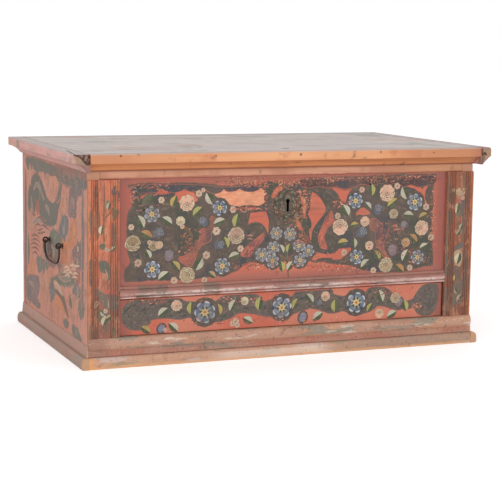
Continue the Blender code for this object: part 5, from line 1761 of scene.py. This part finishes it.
CREAM_COMB = (
    ((64, 268), (67, 266.5), (69, 268)), ((66, 271), (69, 269.4), (71, 271)),
    ((68, 274), (70.5, 272), (72.6, 274)), ((70, 266), (73, 264.6), (75.6, 266)),
    ((72, 266.5), (76, 266), (79.4, 266.2)), ((65, 276), (67.6, 274.6), (70, 276.6)),
    ((63, 272.6), (65.4, 271.4), (67, 272.8)), ((71.5, 269.6), (74, 268.6), (75.8, 270.4)),
    ((73, 274.6), (75.6, 273), (78.4, 274.6)), ((72, 278), (74.6, 276.6), (77.6, 278)),
)
SIDE_FLOWERS = ((78, 249.2, 3.4), (77.5, 261, 3.4), (77.6, 299.5, 2.6))
SIDE_HAZE_TINTS = (GREY, MAUVE, srgb(158, 124, 110), SALMON, srgb(150, 132, 116))
SIDE_HAZE = 260
SHAPE_HATCH = 16
SIDE_FLECK_TINTS = (srgb(208, 164, 148), srgb(96, 74, 64), srgb(150, 112, 98), srgb(214, 150, 120))
SIDE_FLECKS = (
    (60, 175, 12, 3, 90), (36, 232, 6, 10, 110), (55, 310, 12, 9, 110), (74, 240, 5, 24, 160),
    (50, 262, 10, 12, 90), (80, 290, 2.5, 14, 100), (70, 204, 4, 12, 90), (34, 290, 5, 14, 60),
)
HAZE_STROKE = (0.03, 0.0085)
HAZE_SPREAD = 0.35
SHAPE_SPREAD = 0.3


def paint_side(name, board):
    """The same strokes for either side. The board decides which way they face."""
    art = Painting(name, left_board)
    haze_turn = near_turn(UP, HAZE_SPREAD)
    shape_turn = near_turn(UP, SHAPE_SPREAD)
    art.hatch([left_board.rim()], SIDE_HAZE, SIDE_HAZE_TINTS, HAZE_STROKE, haze_turn, 1, 0.45)
    for tint, outline in SIDE_SHAPES:
        loop = art.placed(outline)
        art.fill([loop], [SIDE_SOFTNESS], vary(tint, 0.08), 2)
        hatch_tints = (blend(tint, GREY_GREEN, 0.5), blend(tint, MAUVE, 0.5), blend(tint, CREAM, 0.25))
        art.hatch([loop], SHAPE_HATCH, hatch_tints, HAZE_STROKE, shape_turn, 3, under=tint)
    for row in SIDE_FLECKS:
        art.flecks(SIDE_FLECK_TINTS, *row)
    for route, width, colour in SIDE_LINES:
        art.line(route, width, vary(colour, 0.06), 4)
    for route in SIDE_LIGHT_STROKES:
        art.line(route, LIGHT_WIDTH, vary(LIGHT_TINT), 5)
    for route in SIDE_COMB:
        art.line(route, FEATHER_WIDTH, vary(FEATHER_BROWN), 5)
    for route in CREAM_COMB:
        art.line(route, CREAM_WIDTH, vary(COMB_CREAM), 6)
    plant(art, small_flower, SIDE_FLOWERS)
    art.board = board
    return art.done("chest", side_stroke_paint)


paint_side("painted_scrolls_left", left_board)
paint_side("painted_scrolls_right", right_board)

# %% [markdown]
# ## The pilasters
# Spearheads, leaves and slanting ribbons climb the two reeded strips. They lie on the proud
# faces of the reeds. Where a groove runs, the paint is cut open again, because the painter's
# brush jumped over it.

# %% Ribbons and spearheads
LEFT_SHAPES = (
    ((90, 80, 64), ((95.9, 184.8), (97.6, 190), (98.3, 193.5), (96.6, 197), (95.2, 199.5), (94, 196.5),
     (93.2, 193), (94.6, 189))),
    ((86, 78, 76), ((114.2, 186.3), (116, 189), (116.7, 193), (115, 197), (113, 196), (112, 191.5),
     (113, 188))),
    ((88, 76, 76), ((118.6, 190.4), (120, 195), (119.8, 200), (118.4, 200.6), (117.8, 196))),
    ((96, 96, 68), ((111.8, 209), (114, 208), (117, 210), (119, 210.6), (118.6, 215), (116, 219),
     (114.4, 221), (112.4, 216))),
    ((124, 116, 84), ((107.6, 200), (109.4, 203), (109, 208), (107, 208.8), (106, 205))),
    ((94, 100, 78), ((100, 245), (103.4, 243.8), (105.4, 246), (103, 249.4), (100.4, 248.6))),
    ((100, 98, 84), ((99.3, 261.9), (103, 260.4), (108.5, 263.8), (110.3, 270.5), (109.7, 279.1),
     (107.3, 279.1), (106, 273.6), (101.1, 271.7), (99.3, 266.8))),
    ((114, 102, 92), ((93.2, 289), (98.1, 288.6), (104.2, 294.4), (113.4, 295), (118.3, 300.6),
     (117.7, 308.5), (112.8, 310.6), (104.8, 307), (101.8, 302.3), (97.5, 296.8), (93.8, 293.2))),
    ((100, 100, 78), ((96.8, 312), (99.6, 309), (101.6, 313), (101, 321), (98.6, 322), (96.8, 318))),
    ((106, 106, 80), ((112.6, 330), (115, 328), (115.8, 334), (113.4, 336.6))),
    ((196, 104, 82), ((103.6, 291.6), (107, 289), (112.4, 289.6), (112.6, 294), (107, 293.8))),
    ((128, 100, 78), ((90, 212), (93, 211), (95, 222), (94, 234), (91, 236), (89.6, 224))),
    ((122, 94, 74), ((96, 214), (99, 213), (100, 224), (99, 236), (96.6, 238))),
    ((118, 92, 76), ((89.6, 262), (93, 261), (94, 274), (92.6, 284), (89.6, 284))),
    ((112, 88, 74), ((111, 226), (114, 224), (115.4, 238), (114, 250), (111.6, 248))),
    ((120, 98, 84), ((103, 312), (108, 311), (110, 322), (107, 332), (103, 330))),
    ((124, 104, 88), ((90, 326), (95, 324), (97, 334), (94, 342), (90, 342))),
)
LEFT_LINES = (
    (((95.4, 198), (95, 204), (94, 210)), 0.003, (136, 78, 54)),
    (((92, 201), (92.4, 208), (94, 212), (95.8, 207)), 0.003, (150, 92, 62)),
    (((114.6, 196), (114.8, 203), (115, 209)), 0.004, (104, 96, 68)),
    (((115.6, 219), (116, 230), (116.2, 242), (116, 252)), 0.005, (128, 98, 74)),
    (((108.6, 208), (109.4, 214), (105, 218), (106, 222)), 0.003, (140, 86, 66)),
    (((92.4, 236), (93, 244), (92, 254)), 0.004, (122, 90, 66)),
    (((107, 232), (108, 240), (106, 244)), 0.004, (200, 136, 96)),
    (((94, 250), (95, 262), (94, 272)), 0.003, (140, 92, 62)),
    (((115.4, 262), (116.2, 276), (115.6, 290)), 0.006, (124, 96, 70)),
    (((92.6, 316), (92.8, 324), (91.6, 332)), 0.005, (110, 70, 50)),
    (((108, 300), (108.4, 304), (108.2, 308)), 0.0026, (170, 148, 130)),
    (((105.4, 270), (107, 274), (107.8, 279)), 0.0026, (180, 154, 134)),
    (((104, 182), (104.4, 200), (103.6, 220), (104, 240)), 0.004, (132, 90, 70)),
    (((100.6, 276), (100.4, 284), (99.8, 290)), 0.005, (196, 124, 96)),
    (((117.6, 225), (118, 245), (117.8, 270)), 0.004, (148, 92, 80)),
)
LEFT_FLOWERS = ((106.9, 250, 2.6), (96.8, 303.4, 2.6), (105.4, 311.2, 2.6), (95.4, 306.4, 2.0))
LEFT_LEAVES = (
    (100.8, 230, 9, 1.4, CREAM), (103.9, 320.6, 10, 1.2, CREAM), (108.2, 206, 7, 1.3, WHITE),
    (102.6, 314, 7, 2.4, WHITE), (112.4, 248.8, 7, 0.6, WHITE), (108.6, 317, 7, 0.5, BEIGE),
)
RIGHT_SHAPES = (
    ((96, 92, 76), ((449.6, 184), (453, 184.6), (455, 192), (453.4, 202), (449.4, 204), (448.4, 194))),
    ((184, 152, 122), ((456.4, 190.4), (460, 188), (464.6, 189), (464.8, 193), (461, 195.4), (457, 194.6))),
    ((112, 104, 78), ((455.4, 204), (459.4, 202.4), (460.6, 209), (460, 216), (455.6, 216.4))),
    ((98, 86, 80), ((460.6, 202), (464.8, 200.6), (465, 214), (461.4, 215.4))),
    ((98, 92, 80), ((448.2, 211), (451.6, 210.4), (451.8, 223), (448.6, 224))),
    ((98, 92, 82), ((445.6, 252), (449.6, 251), (452.4, 256), (452, 270), (450, 276), (446, 274))),
    ((104, 94, 88), ((453.2, 250), (456, 246), (461, 243), (464.4, 242.4), (463, 246.6), (458, 249.4),
     (454.6, 252.4))),
    ((178, 148, 118), ((453.6, 254), (457, 249.8), (461.4, 252), (461.8, 260), (459, 266.6), (455, 263.6))),
    ((112, 96, 84), ((452.1, 287), (459.4, 280.4), (467.6, 276.4), (467.6, 297.2), (462.5, 302.1),
     (453.9, 305.2), (450.2, 309.5), (445, 311.6), (445, 289.4))),
    ((112, 84, 72), ((444.6, 176), (448.4, 175), (448.4, 190), (447.6, 210), (444.6, 210))),
    ((116, 86, 72), ((466, 178), (470, 177), (470.6, 190), (469.6, 204), (466.4, 204))),
    ((112, 88, 76), ((462, 218), (466, 217), (467, 230), (466, 240), (462.6, 240))),
    ((118, 92, 78), ((446, 226), (450, 225), (451, 236), (450, 246), (446, 247))),
    ((110, 88, 76), ((463, 248), (467, 247), (468, 260), (467, 272), (463.6, 273))),
    ((114, 90, 78), ((453, 268), (458, 266), (460, 274), (457, 281), (453, 281))),
)
RIGHT_LINES = (
    (((446.6, 174), (446.4, 190), (446, 210), (445.6, 235)), 0.004, (116, 66, 52)),
    (((446.8, 232), (446.4, 240), (446.2, 252)), 0.008, (112, 94, 80)),
    (((452, 207), (456, 203), (460, 200), (464, 196)), 0.008, (178, 94, 80)),
    (((465.6, 206), (465.4, 212), (465.8, 218)), 0.006, (128, 104, 84)),
    (((468.6, 200), (468.4, 206), (468.8, 212)), 0.004, (110, 70, 54)),
    (((472, 182), (472.2, 192), (471.6, 200)), 0.003, (136, 120, 86)),
    (((453, 248), (458, 244), (464, 240), (469, 236)), 0.003, (120, 78, 66)),
    (((470, 238), (469.6, 256), (468.6, 280), (467.6, 310)), 0.004, (132, 98, 80)),
    (((444.4, 312), (444.2, 318), (444.4, 324)), 0.006, (140, 104, 86)),
    (((451, 172), (451, 182), (450.6, 188)), 0.005, (168, 104, 84)),
    (((462, 176), (461.6, 184), (462, 190)), 0.005, (176, 116, 90)),
)
RIGHT_FLOWERS = ((452.4, 206.4, 2.4), (462.6, 197.6, 2.4), (453.4, 190, 2.0))
RIGHT_LEAVES = (
    (456.6, 208, 10, 1.4, CREAM), (460.6, 226.6, 7, 1.2, BEIGE), (458, 232, 7, 0.9, BEIGE),
    (454.4, 277.6, 6, 1.5, YELLOW), (458.6, 297.4, 8, 1.0, BEIGE), (455.4, 291.4, 6, 2.2, BEIGE),
    (457.4, 258, 11, 1.3, CREAM),
)
RIBBON_SOFTNESS = 0.0035
STREAK_TINTS = (
    srgb(124, 82, 62), srgb(100, 84, 66), srgb(200, 138, 108), srgb(136, 100, 80), srgb(152, 88, 72),
    srgb(86, 74, 60),
)
CHIP_TINTS = (srgb(92, 72, 58), srgb(206, 158, 130), srgb(112, 100, 76), srgb(74, 58, 50))
CHIPS = 160
CHIP_LENGTH = (0.0016, 0.005)
CHIP_WIDTH = (0.0007, 0.0013)
REED_SPREAD = 0.06
STREAKS = 260
STREAK_STROKE = (0.016, 0.0013)


def reed_edges(node):
    """The two edges of every groove, read off the face of the pilaster."""
    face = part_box(node)[0].y
    places = {round(vert.co.x, 5) for vert in nodes[node].data.vertices if abs(vert.co.y - face) < EDGE_ROOM}
    return sorted(places)[1:-1]


def paint_pilaster(side, board, shapes, lines, flowers, leaves):
    """Streaks and chips of paint under the ribbons, all cut open at the grooves."""
    art = Painting("painted_ribbons_" + side, board)
    art.hatch([board.rim()], STREAKS, STREAK_TINTS, STREAK_STROKE, near_turn(UP, REED_SPREAD), 1, 0.8)
    for _ in range(CHIPS):
        spot = (chance.uniform(board.low.x, board.high.x), chance.uniform(board.low.y, board.high.y))
        size = (chance.uniform(*CHIP_LENGTH), chance.uniform(*CHIP_WIDTH))
        art.glaze(spot, size, chance.gauss(UP, REED_SPREAD), chance.choice(CHIP_TINTS), 5, 1.3)
    for colour, outline in shapes:
        art.fill_pixels((outline,), (RIBBON_SOFTNESS,), vary(srgb(*colour), 0.06), 2)
    for route, width, colour in lines:
        art.line(route, width, srgb(*colour), 3)
    plant(art, small_flower, flowers)
    plant(art, leaf, leaves)
    art.cut_grooves(reed_edges("pilaster_" + side))
    return art.done("chest", pilaster_stroke_paint)


paint_pilaster("left", left_pilaster_board, LEFT_SHAPES, LEFT_LINES, LEFT_FLOWERS, LEFT_LEAVES)
paint_pilaster("right", right_pilaster_board, RIGHT_SHAPES, RIGHT_LINES, RIGHT_FLOWERS, RIGHT_LEAVES)
print("Groove edges on a pilaster:", reed_edges("pilaster_left"))

# %% [markdown]
# ## The lock's face
# The lock plate was cut and punched while flat: curved lines run round the keyhole and a
# scalloped rim stands up. The lines are thin strokes of painted shade and painted highlight
# on the plate, because a chisel line is too fine to model in the plate. Eight small nails hold it.

# %% Lines and nails of the lock plate
# The dark strokes are painted shade in the chisel lines, and the light ones painted highlight.
PLATE_SHADE = srgb(44, 36, 32)
PLATE_HIGHLIGHT = srgb(150, 136, 116)
PLATE_RED = srgb(128, 84, 66)
PLATE_RINGS = ((0.0385, 30), (0.0345, 26), (0.03, 22), (0.0255, 18), (0.021, 14), (0.0165, 11))
KEYHOLE_ROOM = (0.0068, 0.02)
NAIL_CIRCLE = 0.0285
NAIL_COUNT = 8
NAIL_RADIUS = 0.0042
NAIL_HEIGHT = 0.0013
NAIL_TURN = TAU / 16

plate_finish = iron_start("lock_lines")
plate_finish.coat(plate_finish.painted("paint")[0], 0.85)
plate_lines = plate_finish.close(0.6, 0.5)
plate_art = Painting("lock_plate_lines", plate_board)
for reach, count in PLATE_RINGS:
    for stroke in range(count):
        angle = TAU * stroke / count + chance.uniform(-0.08, 0.08)
        spot = around(lock_spot, reach + chance.uniform(-0.0012, 0.0012), angle)
        clear = abs(spot[0] - lock_spot[0]) > KEYHOLE_ROOM[0] or abs(spot[1] - lock_spot[1]) > KEYHOLE_ROOM[1]
        tint = chance.choice((PLATE_SHADE, PLATE_SHADE, PLATE_HIGHLIGHT, PLATE_HIGHLIGHT, PLATE_RED))
        size = (reach * TAU / count * 0.48, 0.0013)
        if clear:
            plate_art.dab(spot, size, angle + math.pi / 2, vary(tint), 1, 0.3, -0.0006)
plate_art.done("chest", plate_lines)

nails = bmesh.new()
for nail in range(NAIL_COUNT):
    across, rise = around(lock_spot, NAIL_CIRCLE, TAU * nail / NAIL_COUNT + NAIL_TURN)
    size = Matrix.Diagonal((NAIL_RADIUS, NAIL_HEIGHT * 2, NAIL_RADIUS, 1))
    place = Matrix.Translation((across, lock_low.y, rise)) @ size
    bmesh.ops.create_icosphere(nails, subdivisions=2, radius=1, matrix=place)
hand_over("lock_plate_nails", nails, lock_iron, "chest", 60)

# %% [markdown]
# ## A broken corner
# The left corner of the lid has been knocked many times: the end of its moulding is rounded,
# split along the grain and short of a few splinters. The board's mesh is copied, cut into a
# grid near its end so that it can bend, and pushed inwards by noise. A boolean with a rough
# rock would also do it, but would leave ragged faces.

# %% Worn ends of the lid's side mouldings
SLICE = 0.002
WORN_LENGTH = 0.05
BREAK_DEPTH = 0.02
BREAK_EDGE = 0.0025
LEFT_LOSS = 0.01
RIGHT_SHARE = 0.2
CORNER_ROUND = 0.022
CORNER_BACK = 0.012
CORNER_IN = 0.008
NOSE_ROUND = 0.008
NOSE_DROP = 0.004
TOP_DROP = 0.002
COVE_EDGE = 0.002
COVE_SHARE = 0.7
CHIP_SCALE = 110.0
CRACK_DEPTH = 0.009
CRACK_WIDTH = 0.0022
SPLIT_WIDTH = 0.0012
SPLIT_SHARE = 0.7
CRACK_TINT = srgb(54, 30, 22)
COVE_BROWN = srgb(146, 98, 84)
BROKEN_TINTS = (srgb(146, 116, 106), srgb(104, 76, 66), srgb(178, 148, 126))
LEFT_CRACK = ((74.0, 154.6), (78, 157), (82, 159.2), (85, 162.4), (87.6, 164.6), (90, 164), (92.5, 162.4))
LEFT_SPLITS = (
    ((87.4, 164), (87.6, 160.4), (89, 158.4), (91.6, 157.4), (91.4, 154)),
    ((83, 154), (85.4, 156.4), (84.4, 160.6)),
)
RIGHT_CRACK = ((482.6, 147), (482.8, 151), (483.6, 155.6), (485.4, 152.8), (487, 155))
RIGHT_SPLITS = (((483.6, 155.6), (482.6, 159), (482.4, 164)), ((485.4, 155), (484, 158.6), (483.6, 161)))


def slice_up(shape, start, end, axis, near_only):
    """Cuts the geometry into slices between two heights of one axis."""
    for index in range(1, int((end - start) / SLICE) + 1):
        place = Vector((0, 0, 0))
        place[axis] = start + SLICE * index
        normal = Vector((0, 0, 0))
        normal[axis] = 1
        near = shape.faces[:]
        if near_only:
            near = [face for face in near if face.calc_center_median().y < lid_low.y + WORN_LENGTH]
        parts = {part for face in near for part in (*face.verts, *face.edges, face)}
        bmesh.ops.bisect_plane(shape, geom=list(parts), plane_co=place, plane_no=normal)


def nearest_on(route, spot):
    """How far a spot is from a route, and how far it lies above it."""
    found = []
    for start, end in zip(route, route[1:]):
        place, share = geometry.intersect_point_line(spot, start, end)
        place = start.lerp(end, min(max(share, 0.0), 1.0))
        found.append(((place - spot).length, spot.y - place.y))
    return min(found)


def within(distance, reach):
    """1 at no distance, and 0 from the reach on."""
    return max(1 - distance / reach, 0.0)


def bell(distance, width):
    """1 at no distance, falling off like a bell."""
    return math.exp(-((distance / width) ** 2))


def worn_end(node, crack, splits, depth):
    """A copy of a side moulding whose front end is split, chipped and rounded."""
    low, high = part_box(node)
    shape = bmesh.new()
    shape.from_mesh(nodes[node].data)
    bmesh.ops.remove_doubles(shape, verts=shape.verts, dist=0.00001)
    tint = shape.verts.layers.float_color.new("break")
    slice_up(shape, low.y, low.y + WORN_LENGTH, 1, False)
    slice_up(shape, low.x, high.x, 0, True)
    slice_up(shape, low.z, high.z, 2, True)
    outer = low.x if low.x < 0 else high.x
    push = 1 if outer < 0 else -RIGHT_SHARE
    routes = [[lid_band_board.at_pixel(*pixel) for pixel in route] for route in (crack, *splits)]
    for vert in shape.verts:
        place = vert.co.copy()
        to_front = place.y - low.y
        to_side = abs(place.x - outer)
        fade = within(to_front, BREAK_DEPTH)
        chip = noise.fractal(place * CHIP_SCALE, 1.0, 2.0, 3)
        near = [nearest_on(route, Vector((place.x, place.z))) for route in routes]
        gap, above = near[0]
        split = max(bell(gap, CRACK_WIDTH), SPLIT_SHARE * bell(min(near[1:])[0], SPLIT_WIDTH))
        split *= min(fade * 1.5, 1.0)
        broken = min(max(above / BREAK_EDGE, 0.0), 1.0) * min(fade * 1.6, 1.0) if depth else 0.0
        corner = within(to_side, CORNER_ROUND) * within(to_front, CORNER_ROUND)
        nose = within(to_side, NOSE_ROUND) * within(high.z - place.z, NOSE_ROUND) * fade
        knocked = CRACK_DEPTH * split + depth * broken * (0.55 + 0.9 * chip)
        vert.co.y += knocked * fade + corner * CORNER_BACK
        vert.co.y = max(vert.co.y, low.y + 0.0003 * fade)
        vert.co.x += push * corner * (CORNER_IN + CORNER_IN / 2 * chip)
        vert.co.z -= nose * NOSE_DROP
        if place.z > high.z - 0.001:
            vert.co.z -= TOP_DROP * broken * max(0.5 + chip, 0.0)
        rough = BROKEN_TINTS[0] if chip < 0.1 else BROKEN_TINTS[1 if chip > 0.3 else 2]
        in_cove = min(max((BAND_FOOT - place.z) / COVE_EDGE, 0.0), 1.0) * min(fade * 3, 1.0)
        in_cove = in_cove * COVE_SHARE if depth else 0.0
        rough = blend(rough, COVE_BROWN, min(in_cove, 1 - broken))
        share = max(split, broken * 0.9, in_cove)
        vert[tint] = (*blend(rough, CRACK_TINT, min(split * 1.3, 1.0)), share)
    piece = hand_over("worn_" + node, shape, lid_side_paint, "lid", 50)
    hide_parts(node)


worn_end("lid_moulding_left", LEFT_CRACK, LEFT_SPLITS, LEFT_LOSS)
worn_end("lid_moulding_right", RIGHT_CRACK, RIGHT_SPLITS, 0.0)
